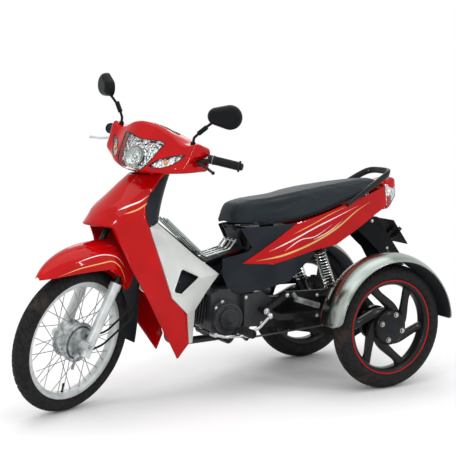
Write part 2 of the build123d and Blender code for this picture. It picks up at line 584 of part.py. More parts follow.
# Rear axle carrier
AXLE = Vector(-WHEELBASE, 0, REAR_R)
CARRIER_SIDE = 150.0
PIVOT = Vector(-764.5, 0, 330)
SHOCK_LOW = Vector(-1122, 108, 336)
HOUSING_R = 28.0
FENDER_IN = 294.0
FENDER_HALF = 74.0
arm_x = AXLE.X + 48
carrier = rod((PIVOT.X, -162, PIVOT.Z), (PIVOT.X, 162, PIVOT.Z), 12)
for side in (-1, 1):
    upper = side_prism([(-756, 340), (-756, 318), (-860, 374), (arm_x, 362), (arm_x, 386), (-860, 398)], 0, 24)
    lower = side_prism([(-756, 342), (-756, 320), (-820, 288), (arm_x, 276), (arm_x, 300), (-830, 312)], 0, 24)
    plate_side = side_prism([(AXLE.X + 56, 270), (AXLE.X - 52, 222), (AXLE.X - 52, 300), (AXLE.X + 38, 392),
                             (AXLE.X + 56, 392)], 0, 24)
    frame_side = Pos(0, side * CARRIER_SIDE - 12, 0) * (upper + lower + plate_side)
    carrier += frame_side
    carrier += rod((SHOCK_LOW.X, side * 90, SHOCK_LOW.Z), (SHOCK_LOW.X, side * 150, SHOCK_LOW.Z), 6)
    carrier += Pos(SHOCK_LOW.X, side * CARRIER_SIDE, 330) * Box(30, 24, 80)
    for angle in (38, 100):
        foot_x = AXLE.X + FENDER_IN * cos(radians(angle))
        foot_z = AXLE.Z + FENDER_IN * sin(radians(angle))
        inner_y = TRACK / 2 - FENDER_HALF + 10
        low_x = AXLE.X + (FENDER_IN - 34) * cos(radians(angle))
        low_z = AXLE.Z + (FENDER_IN - 34) * sin(radians(angle))
        root_x = foot_x if angle < 90 else AXLE.X + 28
        carrier += pipe([Vector(root_x, side * 150, 376), Vector(low_x, side * (inner_y - 22), low_z),
                         Vector(foot_x, side * inner_y, foot_z)], 10, 6)
nodes["sprocket_cover"] -= rod((PIVOT.X, -200, PIVOT.Z), (PIVOT.X, 200, PIVOT.Z), 12 + FIT)
nodes["axle_carrier"] = carrier - rod((AXLE.X, -300, AXLE.Z), (AXLE.X, 300, AXLE.Z), HOUSING_R + FIT)

HOUSING_END = TRACK / 2 - 74
housing = rod((AXLE.X, -HOUSING_END, AXLE.Z), (AXLE.X, HOUSING_END, AXLE.Z), HOUSING_R)
housing += rod((AXLE.X, -50, AXLE.Z), (AXLE.X, 44, AXLE.Z), 78)
for side in (-1, 1):
    housing += rod((AXLE.X, side * (HOUSING_END - 18), AXLE.Z), (AXLE.X, side * HOUSING_END, AXLE.Z), 70)
for side in (-1, 1):
    housing -= rod((AXLE.X, side * (HOUSING_END - 64), AXLE.Z), (AXLE.X, side * (HOUSING_END + 6), AXLE.Z), SHAFT_R + FIT)
nodes["axle_housing"] = housing
CHAIN = [(PIVOT.X - 13, 372), (AXLE.X, AXLE.Z + 92), (AXLE.X - 62, AXLE.Z + 68), (AXLE.X - 88, AXLE.Z),
         (AXLE.X - 62, AXLE.Z - 64), (AXLE.X, AXLE.Z - 90), (PIVOT.X - 13, 254)]
chain_case = side_prism(CHAIN, 46, 84)
nodes["chain_case"] = chain_case - rod((AXLE.X, -300, AXLE.Z), (AXLE.X, 300, AXLE.Z), HOUSING_R + FIT)

# Shock absorbers and springs
shock = rod(SHOCK_TOP, SHOCK_LOW, 11)
shock_run = (SHOCK_LOW - SHOCK_TOP).normalized()
shock += rod(SHOCK_TOP + shock_run * 22, SHOCK_TOP + shock_run * 30, 26)
shock += rod(SHOCK_LOW - shock_run * 62, SHOCK_LOW - shock_run * 54, 26)
shock += rod(SHOCK_LOW - shock_run * 56, SHOCK_LOW, 17)
for end in (SHOCK_TOP, SHOCK_LOW):
    shock += rod(end + Vector(0, -12, 0), end + Vector(0, 12, 0), 13)
    shock -= rod(end + Vector(0, -60, 0), end + Vector(0, 60, 0), 6 + FIT)
nodes["shock_absorbers"] = both(shock)
nodes["shock_springs"] = both(rod(SHOCK_TOP + shock_run * 30.2, SHOCK_LOW - shock_run * 62.2, 25, 18))

# Rear fenders
arch_half = FENDER_HALF
arch = [
    ThreePointArc((FENDER_IN - 22, -arch_half), (FENDER_IN + 3, 0), (FENDER_IN - 22, arch_half)),
    Line((FENDER_IN - 22, arch_half), (FENDER_IN - 25, arch_half)),
    ThreePointArc((FENDER_IN - 25, arch_half), (FENDER_IN, 0), (FENDER_IN - 25, -arch_half)),
    Line((FENDER_IN - 25, -arch_half), (FENDER_IN - 22, -arch_half)),
]
fender_ring = revolve(make_face(arch), Axis.Y, 172).rotate(Axis.Y, -178)
fenders = []
for side in (-1, 1):
    fenders.append((Pos(AXLE.X, side * TRACK / 2, AXLE.Z) * fender_ring) - nodes["axle_carrier"])
nodes["rear_fenders"] = Compound(children=[fenders[0].solid(), fenders[1].solid()])

# Rear wheels
def cast_spoke(index):
    def polar(radius, angle):
        swing = radians(angle + 60 * index)
        return (radius * cos(swing), radius * sin(swing))
    edges = [
        ThreePointArc(polar(52, 0), polar(112, 30), polar(172, 46)),
        Line(polar(172, 46), polar(172, 60)),
        ThreePointArc(polar(172, 60), polar(112, 52), polar(52, 44)),
        Line(polar(52, 44), polar(52, 0)),
    ]
    blade = extrude(make_face(edges), amount=24)
    return blade


cast_rim = revolve(make_face(Polyline(*rim_outline(REAR_FLANGE_R, REAR_WELL_R, REAR_RIM_HALF), close=True)), Axis.Y)
blade_place = Plane(origin=(0, -12, 0), x_dir=(-1, 0, 0), z_dir=(0, 1, 0))
disc = wheel_ring([(0, -24), (60, -24), (REAR_HUB_R, -18), (REAR_HUB_R, 20), (60, 38), (0, 40)], (0, 0, 0))
wheel = disc + rod((0, -128, 0), (0, 0, 0), SHAFT_R)
for index in range(6):
    wheel += blade_place * cast_spoke(index)
wheel += cast_rim
for name, side in (("left", 1), ("right", -1)):
    centre = (AXLE.X, side * TRACK / 2, AXLE.Z)
    nodes["rear_tyre_" + name] = tyre(centre, REAR_R, REAR_HALF, REAR_FLANGE_R, REAR_RIM_HALF)
    sided = wheel if side > 0 else mirror(wheel, about=Plane.XZ)
    nodes["rear_wheel_" + name] = Pos(*centre) * sided

# Passenger pegs and brake rod
rear_peg = rod((-890, 158, 386), (-890, 186, 372), 9) + rod((-884, 186, 372), (-990, 188, 336), 12)
nodes["passenger_pegs"] = both(rear_peg - nodes["axle_carrier"])
rod_end = rod((CROSS.X, 124, CROSS.Z), (CROSS.X, 134, CROSS.Z), 10)
rod_end += rod((CROSS.X, 129, CROSS.Z), (AXLE.X + 32, 129, AXLE.Z - 5), 4)
nodes["brake_rod"] = rod_end - rod((CROSS.X, 100, CROSS.Z), (CROSS.X, 150, CROSS.Z), 6 + FIT)

# Origin at floor level, midway along the machine
steer = radians(STEER_AT_REST)
foot_to_axle = -AXIS_FOOT.X
axle_turned_x = AXIS_FOOT.X + foot_to_axle * (COS_RAKE ** 2 * cos(steer) + SIN_RAKE ** 2)
front_reach = axle_turned_x + FRONT_R
rear_reach = AXLE.X - FENDER_IN - 3
ORIGIN_X = 0.5 * (front_reach + rear_reach)

os.makedirs("parts", exist_ok=True)
for name, shape in steered.items():
    nodes[name] = turned(shape)
for name, shape in nodes.items():
    placed = Pos(-ORIGIN_X, 0, 0) * shape
    export_step(placed, f"parts/{name}.step")
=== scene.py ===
import json
import math

import bmesh
import bpy
from mathutils import Matrix, Vector
from mathutils.bvhtree import BVHTree


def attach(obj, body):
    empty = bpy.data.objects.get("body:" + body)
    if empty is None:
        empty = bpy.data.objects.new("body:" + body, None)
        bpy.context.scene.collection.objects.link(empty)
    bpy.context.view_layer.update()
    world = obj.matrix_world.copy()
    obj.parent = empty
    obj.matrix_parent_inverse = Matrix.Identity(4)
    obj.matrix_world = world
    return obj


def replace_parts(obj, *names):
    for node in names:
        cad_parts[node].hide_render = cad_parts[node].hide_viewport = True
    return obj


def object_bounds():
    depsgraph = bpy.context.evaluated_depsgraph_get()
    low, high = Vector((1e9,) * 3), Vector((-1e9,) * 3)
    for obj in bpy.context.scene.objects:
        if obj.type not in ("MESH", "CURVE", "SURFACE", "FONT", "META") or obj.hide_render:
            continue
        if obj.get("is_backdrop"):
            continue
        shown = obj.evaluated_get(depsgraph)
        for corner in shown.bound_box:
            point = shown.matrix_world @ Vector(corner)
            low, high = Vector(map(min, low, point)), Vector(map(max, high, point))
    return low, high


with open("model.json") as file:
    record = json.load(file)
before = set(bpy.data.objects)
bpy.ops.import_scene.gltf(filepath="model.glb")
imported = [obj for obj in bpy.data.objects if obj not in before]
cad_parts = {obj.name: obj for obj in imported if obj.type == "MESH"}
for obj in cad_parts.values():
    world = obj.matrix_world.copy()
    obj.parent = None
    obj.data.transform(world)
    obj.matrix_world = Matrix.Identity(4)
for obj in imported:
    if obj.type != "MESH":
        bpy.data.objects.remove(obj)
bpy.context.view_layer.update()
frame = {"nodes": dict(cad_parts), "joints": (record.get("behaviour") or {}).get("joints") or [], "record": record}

# Places are written in millimetres as on the drawing: x from the straight-ahead front axle, y left, z up.
# row() turns them into the frame's metres, steered() also turns them with the rest angle of the steering.
MM = 0.001
SIDES = (-1, 1)
WHEELBASE = 1238.0
STEER_AT_REST = math.radians(24.0)
JOINTS = {joint["name"]: joint for joint in frame["joints"]}
ORIGIN_X = -WHEELBASE - JOINTS["rear_left_spin"]["pos_m"][0] / MM
STEM_FOOT = Vector(JOINTS["steering"]["pos_m"])
STEM_UP = Vector(JOINTS["steering"]["axis"]).normalized()
REST_TURN = Matrix.Rotation(STEER_AT_REST, 4, STEM_UP)
STEER_TURN = Matrix.Translation(STEM_FOOT) @ REST_TURN @ Matrix.Translation(-STEM_FOOT)
TO_ROW = Matrix.Translation((-ORIGIN_X * MM, 0, 0)) @ Matrix.Scale(MM, 4)
TO_STEERED = STEER_TURN @ TO_ROW


def row(x, y, z):
    return TO_ROW @ Vector((x, y, z))


def steered(x, y, z):
    return TO_STEERED @ Vector((x, y, z))


def steered_way(x, y, z):
    """A direction turned with the rest angle of the steering."""
    return (REST_TURN.to_3x3() @ Vector((x, y, z))).normalized()


# Materials

def start(name):
    material = bpy.data.materials.new(name)
    material.use_nodes = True
    tree = material.node_tree
    return material, tree, tree.nodes["Principled BSDF"]


def add(tree, kind, **inputs):
    node = tree.nodes.new(kind)
    for key, value in inputs.items():
        socket = key.replace("_", " ")
        if socket in node.inputs:
            node.inputs[socket].default_value = value
        else:
            setattr(node, key, value)
    return node


def placed(tree, kind, **inputs):
    """A node that is fed with the place on the object."""
    node = add(tree, kind, **inputs)
    tree.links.new(add(tree, "ShaderNodeTexCoord").outputs["Object"], node.inputs[0])
    return node


def noise(tree, scale, detail=3.0, stretch=(1, 1, 1)):
    mapping = placed(tree, "ShaderNodeMapping", Scale=stretch)
    grain = add(tree, "ShaderNodeTexNoise", Scale=scale, Detail=detail)
    tree.links.new(mapping.outputs["Vector"], grain.inputs["Vector"])
    return grain.outputs["Fac"]


def distance_from(tree, centre):
    """Distance of a place on the object from a centre."""
    node = placed(tree, "ShaderNodeVectorMath", operation="DISTANCE")
    node.inputs[1].default_value = centre
    return node.outputs["Value"]


def blend_colours(tree, fac, low, high, low_at=0.35, high_at=0.65):
    ramp = add(tree, "ShaderNodeValToRGB")
    ramp.color_ramp.elements[0].position = low_at
    ramp.color_ramp.elements[1].position = high_at
    ramp.color_ramp.elements[0].color = (*low, 1)
    ramp.color_ramp.elements[1].color = (*high, 1)
    tree.links.new(fac, ramp.inputs["Fac"])
    return ramp.outputs["Color"]


def mix_colours(tree, fac, first, second):
    """The first colour where the factor is 0, the second, which may be a plain colour, where it is 1."""
    mix = add(tree, "ShaderNodeMix", data_type="RGBA")
    colours = [socket for socket in mix.inputs if socket.type == "RGBA"]
    tree.links.new(fac, mix.inputs["Factor"])
    tree.links.new(first, colours[0])
    if isinstance(second, tuple):
        colours[1].default_value = (*second, 1)
    else:
        tree.links.new(second, colours[1])
    return next(socket for socket in mix.outputs if socket.type == "RGBA")


def span(tree, fac, low, high, begin=0.0, end=1.0):
    """A value that goes from low to high while the factor goes from begin to end."""
    scaled = add(tree, "ShaderNodeMapRange", From_Min=begin, From_Max=end, To_Min=low, To_Max=high)
    tree.links.new(fac, scaled.inputs["Value"])
    return scaled.outputs["Result"]


def bump(tree, shader, height, strength, distance):
    node = add(tree, "ShaderNodeBump", Strength=strength, Distance=distance)
    tree.links.new(height, node.inputs["Height"])
    tree.links.new(node.outputs["Normal"], shader.inputs["Normal"])


def dress(tree, shader, tone, rough, **sockets):
    """Colour and roughness of a shader, and plain values for its other inputs."""
    tree.links.new(tone, shader.inputs["Base Color"])
    tree.links.new(rough, shader.inputs["Roughness"])
    for key, value in sockets.items():
        shader.inputs[key.replace("_", " ")].default_value = value


def finish_of(name, low, high, rough, patch=9.0, grain=900.0, relief=0.1, depth=0.0004, metallic=0.0,
              coat=0.0, stretch=(1, 1, 1), **sockets):
    """Colour and roughness drift between two values over patches; fine grain gives the relief."""
    material, tree, shader = start(name)
    drift = noise(tree, patch, 4.0, stretch)
    fine = noise(tree, grain, 2.0, stretch)
    dress(tree, shader, blend_colours(tree, drift, low, high), span(tree, drift, *rough), Metallic=metallic,
          Coat_Weight=coat, Coat_Roughness=0.04, **sockets)
    bump(tree, shader, fine, relief, depth)
    return material


def grained_vinyl(name):
    material, tree, shader = start(name)
    cells = placed(tree, "ShaderNodeTexVoronoi", Scale=520.0, feature="DISTANCE_TO_EDGE")
    drift = noise(tree, 7.0)
    tone = blend_colours(tree, drift, (0.010, 0.015, 0.019), (0.017, 0.024, 0.029))
    dress(tree, shader, tone, span(tree, drift, 0.40, 0.52), Specular_IOR_Level=0.10)
    bump(tree, shader, cells.outputs["Distance"], 0.25, 0.0006)
    return material


def dusty_rubber(name, dust):
    """Worn black rubber under patches of brown dust, which are at most as dense as stated."""
    material, tree, shader = start(name)
    patch = noise(tree, 11.0, 6.0)
    worn = blend_colours(tree, noise(tree, 60.0), (0.008, 0.008, 0.009), (0.016, 0.016, 0.017))
    tone = mix_colours(tree, span(tree, patch, 0.0, dust, 0.58, 0.82), worn, (0.15, 0.09, 0.05))
    dress(tree, shader, tone, span(tree, patch, 0.62, 0.86), Specular_IOR_Level=0.15)
    bump(tree, shader, noise(tree, 700.0), 0.25, 0.0005)
    return material


def glass(name, tint, ribs):
    material, tree, shader = start(name)
    wave = placed(tree, "ShaderNodeTexWave", Scale=ribs, Distortion=0.4)
    drift = noise(tree, 40.0)
    tone = blend_colours(tree, drift, tint, tuple(min(1, c * 1.1) for c in tint))
    dress(tree, shader, tone, span(tree, drift, 0.02, 0.06), Transmission_Weight=1.0, IOR=1.3)
    bump(tree, shader, wave.outputs["Fac"], 0.08, 0.0004)
    return material


def facet_metal_painted_glints(name):
    """Bright metal broken into lamp facets, each with a painted glint: bright in its middle and grey towards its
    edge.
    """
    material, tree, shader = start(name)
    facets = placed(tree, "ShaderNodeTexVoronoi", Scale=95.0).outputs["Distance"]
    # painted reflection: each cell's tone goes from bright at its middle to grey at its edge, standing in for
    # glints
    tone = blend_colours(tree, facets, (0.80, 0.82, 0.82), (0.42, 0.44, 0.45), 0.2, 0.8)
    dress(tree, shader, tone, span(tree, noise(tree, 60.0), 0.08, 0.22), Metallic=1.0)
    bump(tree, shader, facets, 0.9, 0.006)
    return material


def laced_metal(name, centre, hub_r):
    """Cast metal near a wheel's centre and darker steel on the spokes outside it."""
    material, tree, shader = start(name)
    outside = span(tree, distance_from(tree, centre), 0.0, 1.0, hub_r, hub_r + 0.004)
    cast_tone = blend_colours(tree, noise(tree, 38.0, 5.0), (0.20, 0.22, 0.23), (0.60, 0.63, 0.63))
    wire_tone = blend_colours(tree, noise(tree, 25.0), (0.16, 0.17, 0.17), (0.30, 0.31, 0.31))
    tone = mix_colours(tree, outside, cast_tone, wire_tone)
    dress(tree, shader, tone, span(tree, noise(tree, 60.0), 0.30, 0.44), Metallic=0.7)
    bump(tree, shader, noise(tree, 700.0, 2.0), 0.15, 0.0004)
    return material


FINISHES = {
    # name: darker colour, lighter colour, roughness from and to, other settings
    "red_paint": ((0.40, 0.001, 0.002), (0.48, 0.002, 0.003), (0.12, 0.20),
                  dict(grain=420.0, relief=0.03, coat=0.36, Specular_IOR_Level=0.02)),
    "silver_panel": ((0.64, 0.66, 0.64), (0.71, 0.73, 0.71), (0.30, 0.40),
                     dict(grain=1500.0, relief=0.05, metallic=0.15, coat=0.2, Specular_IOR_Level=0.3)),
    "black_plastic": ((0.012, 0.015, 0.019), (0.020, 0.024, 0.029), (0.40, 0.52),
                      dict(grain=800.0, relief=0.3, Specular_IOR_Level=0.08)),
    "black_paint": ((0.006, 0.006, 0.007), (0.012, 0.012, 0.013), (0.22, 0.34),
                    dict(relief=0.08, coat=0.10, Specular_IOR_Level=0.14)),
    "deep_black": ((0.004, 0.005, 0.006), (0.007, 0.008, 0.009), (0.34, 0.46),
                   dict(relief=0.15, Specular_IOR_Level=0.08)),
    "soft_rubber": ((0.008, 0.008, 0.009), (0.016, 0.016, 0.017), (0.55, 0.7),
                    dict(grain=1200.0, relief=0.3, Specular_IOR_Level=0.15)),
    # painted reflection: chrome is toned dark and greenish grey in patches, standing in for the dark green
    # surroundings it reflects
    "chrome": ((0.30, 0.33, 0.31), (0.56, 0.60, 0.57), (0.06, 0.16),
               dict(patch=7.0, grain=300.0, relief=0.03, metallic=1.0)),
    # painted reflection: the fender chrome is darker and greenish, in bands stretched along the arc that stand in
    # for reflections
    "fender_chrome": ((0.20, 0.23, 0.21), (0.36, 0.40, 0.37), (0.12, 0.28),
                      dict(patch=5.0, grain=60.0, relief=0.10, depth=0.0008, metallic=1.0,
                           stretch=(1, 9.0, 1))),
    "aluminium": ((0.50, 0.53, 0.53), (0.64, 0.67, 0.67), (0.42, 0.56),
                  dict(patch=30.0, relief=0.25, metallic=0.55)),
    "engine_grey": ((0.022, 0.023, 0.026), (0.038, 0.040, 0.044), (0.36, 0.5),
                    dict(grain=700.0, relief=0.3, metallic=0.2, Specular_IOR_Level=0.25)),
    "steel": ((0.45, 0.45, 0.45), (0.60, 0.60, 0.60), (0.22, 0.34), dict(grain=500.0, metallic=1.0)),
    "dull_steel": ((0.05, 0.05, 0.05), (0.11, 0.11, 0.11), (0.4, 0.55), dict(metallic=0.7)),
    "peg_metal": ((0.10, 0.11, 0.11), (0.26, 0.27, 0.27), (0.35, 0.5), dict(patch=40.0, metallic=0.6)),
    "exhaust_black": ((0.02, 0.02, 0.02), (0.05, 0.045, 0.04), (0.35, 0.55), dict(relief=0.2, metallic=0.5)),
    "red_lens": ((0.20, 0.002, 0.004), (0.30, 0.004, 0.006), (0.08, 0.16),
                 dict(patch=30.0, grain=120.0, relief=0.25, coat=0.5)),
    "mirror_glass": ((0.70, 0.73, 0.76), (0.76, 0.79, 0.82), (0.01, 0.03), dict(metallic=1.0)),
    "amber_bulb": ((0.75, 0.22, 0.03), (0.85, 0.30, 0.05), (0.1, 0.2), dict(coat=0.6)),
    "white_line": ((0.72, 0.71, 0.68), (0.80, 0.79, 0.76), (0.25, 0.35), dict(coat=0.3)),
    "gold_line": ((0.62, 0.38, 0.10), (0.72, 0.46, 0.14), (0.28, 0.38), dict(coat=0.3)),
}
MATERIALS = {
    "seat_cover": grained_vinyl("seat_cover"),
    "tyre_rubber": dusty_rubber("tyre_rubber", 0.3),
    "clear_lens": glass("clear_lens", (0.94, 0.96, 0.96), 60.0),
    # the headlamp reflector and the rear signal prisms carry painted glints on their facets
    "lamp_reflector": facet_metal_painted_glints("lamp_reflector"),
    "signal_prisms": facet_metal_painted_glints("signal_prisms"),
    "hub_metal": laced_metal("hub_metal", JOINTS["front_wheel_spin"]["pos_m"], 0.082),
}
for name, (low, high, rough, settings) in FINISHES.items():
    MATERIALS[name] = finish_of(name, low, high, rough, **settings)
NODE_FINISH = {
    # nodes that look unlike the rest of their slot
    "front_hub": "hub_metal", "brake_panel": "hub_metal", "mirrors": "deep_black",
    "rear_mudguard": "deep_black", "passenger_pegs": "peg_metal", "brake_rod": "dull_steel",
    "exhaust": "exhaust_black", "rear_signals": "signal_prisms",
}
slot_of = {part["node"]: part["material_slot"] for part in frame["record"]["subparts"]}
for node, shown in frame["nodes"].items():
    shown.data.materials.clear()
    shown.data.materials.append(MATERIALS[NODE_FINISH.get(node, slot_of[node])])


# Mesh helpers

def show(name, data):
    """A new object in the scene."""
    made = bpy.data.objects.new(name, data)
    bpy.context.scene.collection.objects.link(made)
    return made


class Batch:
    """Several shapes, each a pair of vertices and faces, gathered into one piece."""

    def __init__(self, *shapes):
        self.verts, self.faces = [], []
        for shape in shapes:
            self.add(shape)

    def add(self, shape):
        first = len(self.verts)
        self.verts += [Vector(v) for v in shape[0]]
        self.faces += [tuple(first + index for index in face) for face in shape[1]]

    def make(self, name, body, slot=None, material=None, crease=38.0):
        mesh = bpy.data.meshes.new(name)
        mesh.from_pydata(self.verts, [], self.faces)
        work = bmesh.new()
        work.from_mesh(mesh)
        bmesh.ops.remove_doubles(work, verts=work.verts, dist=2e-6)
        bmesh.ops.dissolve_degenerate(work, edges=work.edges, dist=1e-7)
        bmesh.ops.recalc_face_normals(work, faces=work.faces)
        work.to_mesh(mesh)
        work.free()
        mesh.shade_smooth()
        mesh.set_sharp_from_angle(angle=math.radians(crease))
        mesh.materials.append(MATERIALS[material or slot])
        made = show(name, mesh)
        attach(made, body)
        return made


def thicken(made, thickness):
    """Gives a sheet a wall on its inner side."""
    wall = made.modifiers.new("thickness", "SOLIDIFY")
    wall.thickness = thickness
    wall.offset = -1


def turns(count):
    """Angles spread evenly round a circle."""
    return [2 * math.pi * k / count for k in range(count)]


def on_wheel(radius, offset, angle):
    """A place in wheel space, whose axis is Y."""
    return Vector((radius * math.cos(angle), offset, radius * math.sin(angle)))


def skin(rings, closed=True, caps=True):
    """Quads between rings of points that all have the same count."""
    count = len(rings[0])
    verts = [point for points in rings for point in points]
    faces = []
    for here in range(len(rings) - 1):
        for index in range(count if closed else count - 1):
            beside = (index + 1) % count
            faces.append((here * count + index, here * count + beside, (here + 1) * count + beside,
                          (here + 1) * count + index))
    if caps:
        faces.append(tuple(reversed(range(count))))
        faces.append(tuple(range(len(verts) - count, len(verts))))
    return verts, faces


def lathe(profile, place, steps, closed=False, lift=None):
    """Turns a profile [(radius, offset)] about the place's Y axis; lift(angle, index) lowers a radius."""
    count = len(profile)
    verts, faces = [], []
    for step, angle in enumerate(turns(steps)):
        for index, (radius, offset) in enumerate(profile):
            reach = radius - (lift(angle, index) if lift else 0.0)
            verts.append(place @ on_wheel(reach, offset, angle))
        here, after = step * count, ((step + 1) % steps) * count
        for index in range(count if closed else count - 1):
            beside = (index + 1) % count
            faces.append((here + index, after + index, after + beside, here + beside))
    return verts, faces


def tube(points, radius, sides=8, closed=False):
    """A round bar of one radius, or one radius a point, along a line of points."""
    points = [Vector(point) for point in points]
    count = len(points)
    radii = radius if isinstance(radius, (list, tuple)) else [radius] * count
    across = (points[1] - points[0]).orthogonal().normalized()
    rings = []
    for index, point in enumerate(points):
        before = points[index - 1] if index or closed else point
        after = points[(index + 1) % count] if index < count - 1 or closed else point
        run = (after - before).normalized()
        across = (across - run * across.dot(run)).normalized()
        up = run.cross(across)
        ring = [across * math.cos(angle) + up * math.sin(angle) for angle in turns(sides)]
        rings.append([point + way * radii[index] for way in ring])
    if closed:
        rings.append(rings[0])
    return skin(rings, caps=not closed)


def smooth_line(points, per=8):
    """A curve through points of any dimension."""
    points = [Vector(point) for point in points]
    ends = [2 * points[0] - points[1]] + points + [2 * points[-1] - points[-2]]
    line = []
    for a, b, c, d in zip(ends, ends[1:], ends[2:], ends[3:]):
        for step in range(per):
            t = step / per
            line.append(0.5 * (2 * b + (c - a) * t + (2 * a - 5 * b + 4 * c - d) * t * t
                               + (3 * b - a - 3 * c + d) * t * t * t))
    return line + [points[-1]]


def along(point, direction):
    """Place whose Y axis points along a direction, in millimetres."""
    turn = Vector((0, 1, 0)).rotation_difference(Vector(direction)).to_matrix().to_4x4()
    return Matrix.Translation(Vector(point)) @ turn @ Matrix.Scale(MM, 4)


def wheel_place(joint):
    """From wheel space in millimetres, axis along Y, to the frame."""
    turn = REST_TURN if joint == "front_wheel_spin" else Matrix.Identity(4)
    return Matrix.Translation(Vector(JOINTS[joint]["pos_m"])) @ turn @ Matrix.Scale(MM, 4)


def dome(point, direction, radius, height):
    """A bolt head with a low washer, seated on a point."""
    head = [(0, 1), (0.45, 0.94), (0.8, 0.62), (0.88, 0.2), (1.15, 0.16)]
    profile = [(radius * r, height * h) for r, h in head] + [(radius * 1.15, -0.6), (0, -0.6)]
    return lathe(profile, along(point, direction), 14)


def surface_of(name):
    """Search tree of a CAD node or of a piece."""
    mesh = (frame["nodes"].get(name) or bpy.data.objects[name]).data
    corners = [v.co.copy() for v in mesh.vertices]
    return BVHTree.FromPolygons(corners, [tuple(p.vertices) for p in mesh.polygons])


def arc_points(first, middle, last, count):
    """Points on the circle through three places in a plane, without the last one."""
    (ax, ay), (bx, by), (cx, cy) = first, middle, last
    a, b, c = (x * x + y * y for x, y in (first, middle, last))
    d = 2 * (ax * (by - cy) + bx * (cy - ay) + cx * (ay - by))
    ux = (a * (by - cy) + b * (cy - ay) + c * (ay - by)) / d
    uy = (a * (cx - bx) + b * (ax - cx) + c * (bx - ax)) / d
    begin, mid, end = (math.atan2(y - uy, x - ux) for x, y in (first, middle, last))
    turn = (end - begin) % (2 * math.pi)
    if (mid - begin) % (2 * math.pi) > turn:
        turn -= 2 * math.pi
    radius = math.hypot(ax - ux, ay - uy)
    angles = [begin + turn * k / count for k in range(count)]
    return [(ux + radius * math.cos(angle), uy + radius * math.sin(angle)) for angle in angles]


def run_at(line, index):
    """Direction of a line of points at one of them."""
    return (line[min(index + 1, len(line) - 1)] - line[max(index - 1, 0)]).normalized()


# Tyres with tread grooves
# Sizes: outer radius, half width, flange radius, rim half width, pitches, groove depth, slant
FRONT_TYRE = (279.0, 35.0, 227.0, 20.5, 42, 3.0, 0.9)
REAR_TYRE = (250.0, 42.0, 190.0, 31.0, 36, 4.0, 1.2)
TYRES = [
    # node, joint, body, sizes
    ("front_tyre", "front_wheel_spin", "front_wheel", FRONT_TYRE),
    ("rear_tyre_left", "rear_left_spin", "rear_wheel_left_body", REAR_TYRE),
    ("rear_tyre_right", "rear_right_spin", "rear_wheel_right_body", REAR_TYRE),
]
TREAD_ROWS = 40
TREAD_STEPS = 14
for node, joint, body, (outer_r, half, flange_r, rim_half, pitches, groove, slant) in TYRES:
    bead = rim_half - 3.0
    shoulder = outer_r - 0.55 * half
    belly = 0.5 * (outer_r + flange_r) - 4
    crown = arc_points((shoulder, -0.9 * half), (outer_r, 0), (shoulder, 0.9 * half), TREAD_ROWS)
    wall = arc_points((shoulder, 0.9 * half), (belly, half), (flange_r + 0.3, bead), 9)
    wall += [(flange_r + 0.3, bead), (flange_r - 8, bead)]

    def carve(angle, index):
        if index >= TREAD_ROWS:
            return 0.0
        across = 2 * index / TREAD_ROWS - 1
        reach = abs(across)
        shift = 0.5 if across > 0 else 0.0
        pitch = (angle * pitches / (2 * math.pi) + shift + slant * reach) % 1.0
        slash = groove if 0.14 < reach < 0.84 and pitch < 0.2 else 0.0
        short = groove * 0.8 if 0.5 < reach < 0.94 and 0.5 < pitch < 0.66 else 0.0
        return max(slash, short)

    profile = crown + wall + [(r, -y) for r, y in reversed(wall[1:])]
    tread = Batch(lathe(profile, wheel_place(joint), pitches * TREAD_STEPS, closed=True, lift=carve))
    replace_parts(tread.make(f"{node}_tread", body, "tyre_rubber", crease=30), node)

# Front wheel: nipples on the spokes and the valve
FRONT_WELL_R = 206.0
HUB_R = 72.0
HUB_HALF = 38.0
SPOKES_A_SIDE = 18
VALVE_ANGLE = math.radians(-82)
front_place = wheel_place("front_wheel_spin")
nipples = Batch()
for side in SIDES:
    for index in range(SPOKES_A_SIDE):
        lead = index % 2
        hub_angle = math.radians(40 * (index // 2) + 20 * lead + 10 * (1 + side))
        rim_angle = hub_angle + math.radians(35 - 70 * lead)
        hub_end = on_wheel(HUB_R - 6, side * (HUB_HALF - 9 - 3 * lead), hub_angle)
        rim_end = on_wheel(FRONT_WELL_R, 4 * side, rim_angle)
        run = (hub_end - rim_end).normalized()
        ends = [front_place @ (rim_end + run * reach) for reach in (-1.0, 1.5, 2.0, 13)]
        nipples.add(tube(ends, [3.6 * MM, 3.6 * MM, 2.5 * MM, 2.1 * MM], 8))
nipples.make("spoke_nipples", "front_wheel", "steel")
valve_dir = on_wheel(1, 0, VALVE_ANGLE)
valve_line = [front_place @ (valve_dir * r) for r in (207, 203, 202, 184, 183, 172)]
valve = Batch(tube(valve_line, [5 * MM, 5 * MM, 3.2 * MM, 3.2 * MM, 4.2 * MM, 4 * MM], 12))
valve.make("valve_stem", "front_wheel", "soft_rubber")

# Rear cast wheels: rim, six swept arms, hub, painted line and lug bolts
REAR_SIDES = ((1, "left"), (-1, "right"))
RIM_R, RIM_WELL_R, RIM_HALF = 190.0, 168.0, 31.0
ARMS, LUGS = 6, 4
ARM = [
    # radius, sweep in degrees, width, half thickness
    (46, -28, 46, 15), (62, -3, 42, 15), (80, 18, 38, 14), (100, 34, 34, 13),
    (125, 45, 31, 12), (150, 51, 33, 11.5), (174, 53, 46, 12),
]
LUG_CIRCLE_R = 52
LUG = [(0, 47), (4, 46.5), (7.5, 44.5), (8.6, 41), (8.6, 39), (11, 38.6), (11, 38)]
rim_profile = [(RIM_R, RIM_HALF), (RIM_R, RIM_HALF - 2.5), (181.3, 28.4), (177, 22), (174, 17), (172.6, 0)]
rim_profile += [(r, -y) for r, y in reversed(rim_profile[:-1])]
well = [(182, -RIM_HALF), (177, -29), (172, -22), (RIM_WELL_R, -14)]
rim_profile += well + [(r, -y) for r, y in reversed(well)]
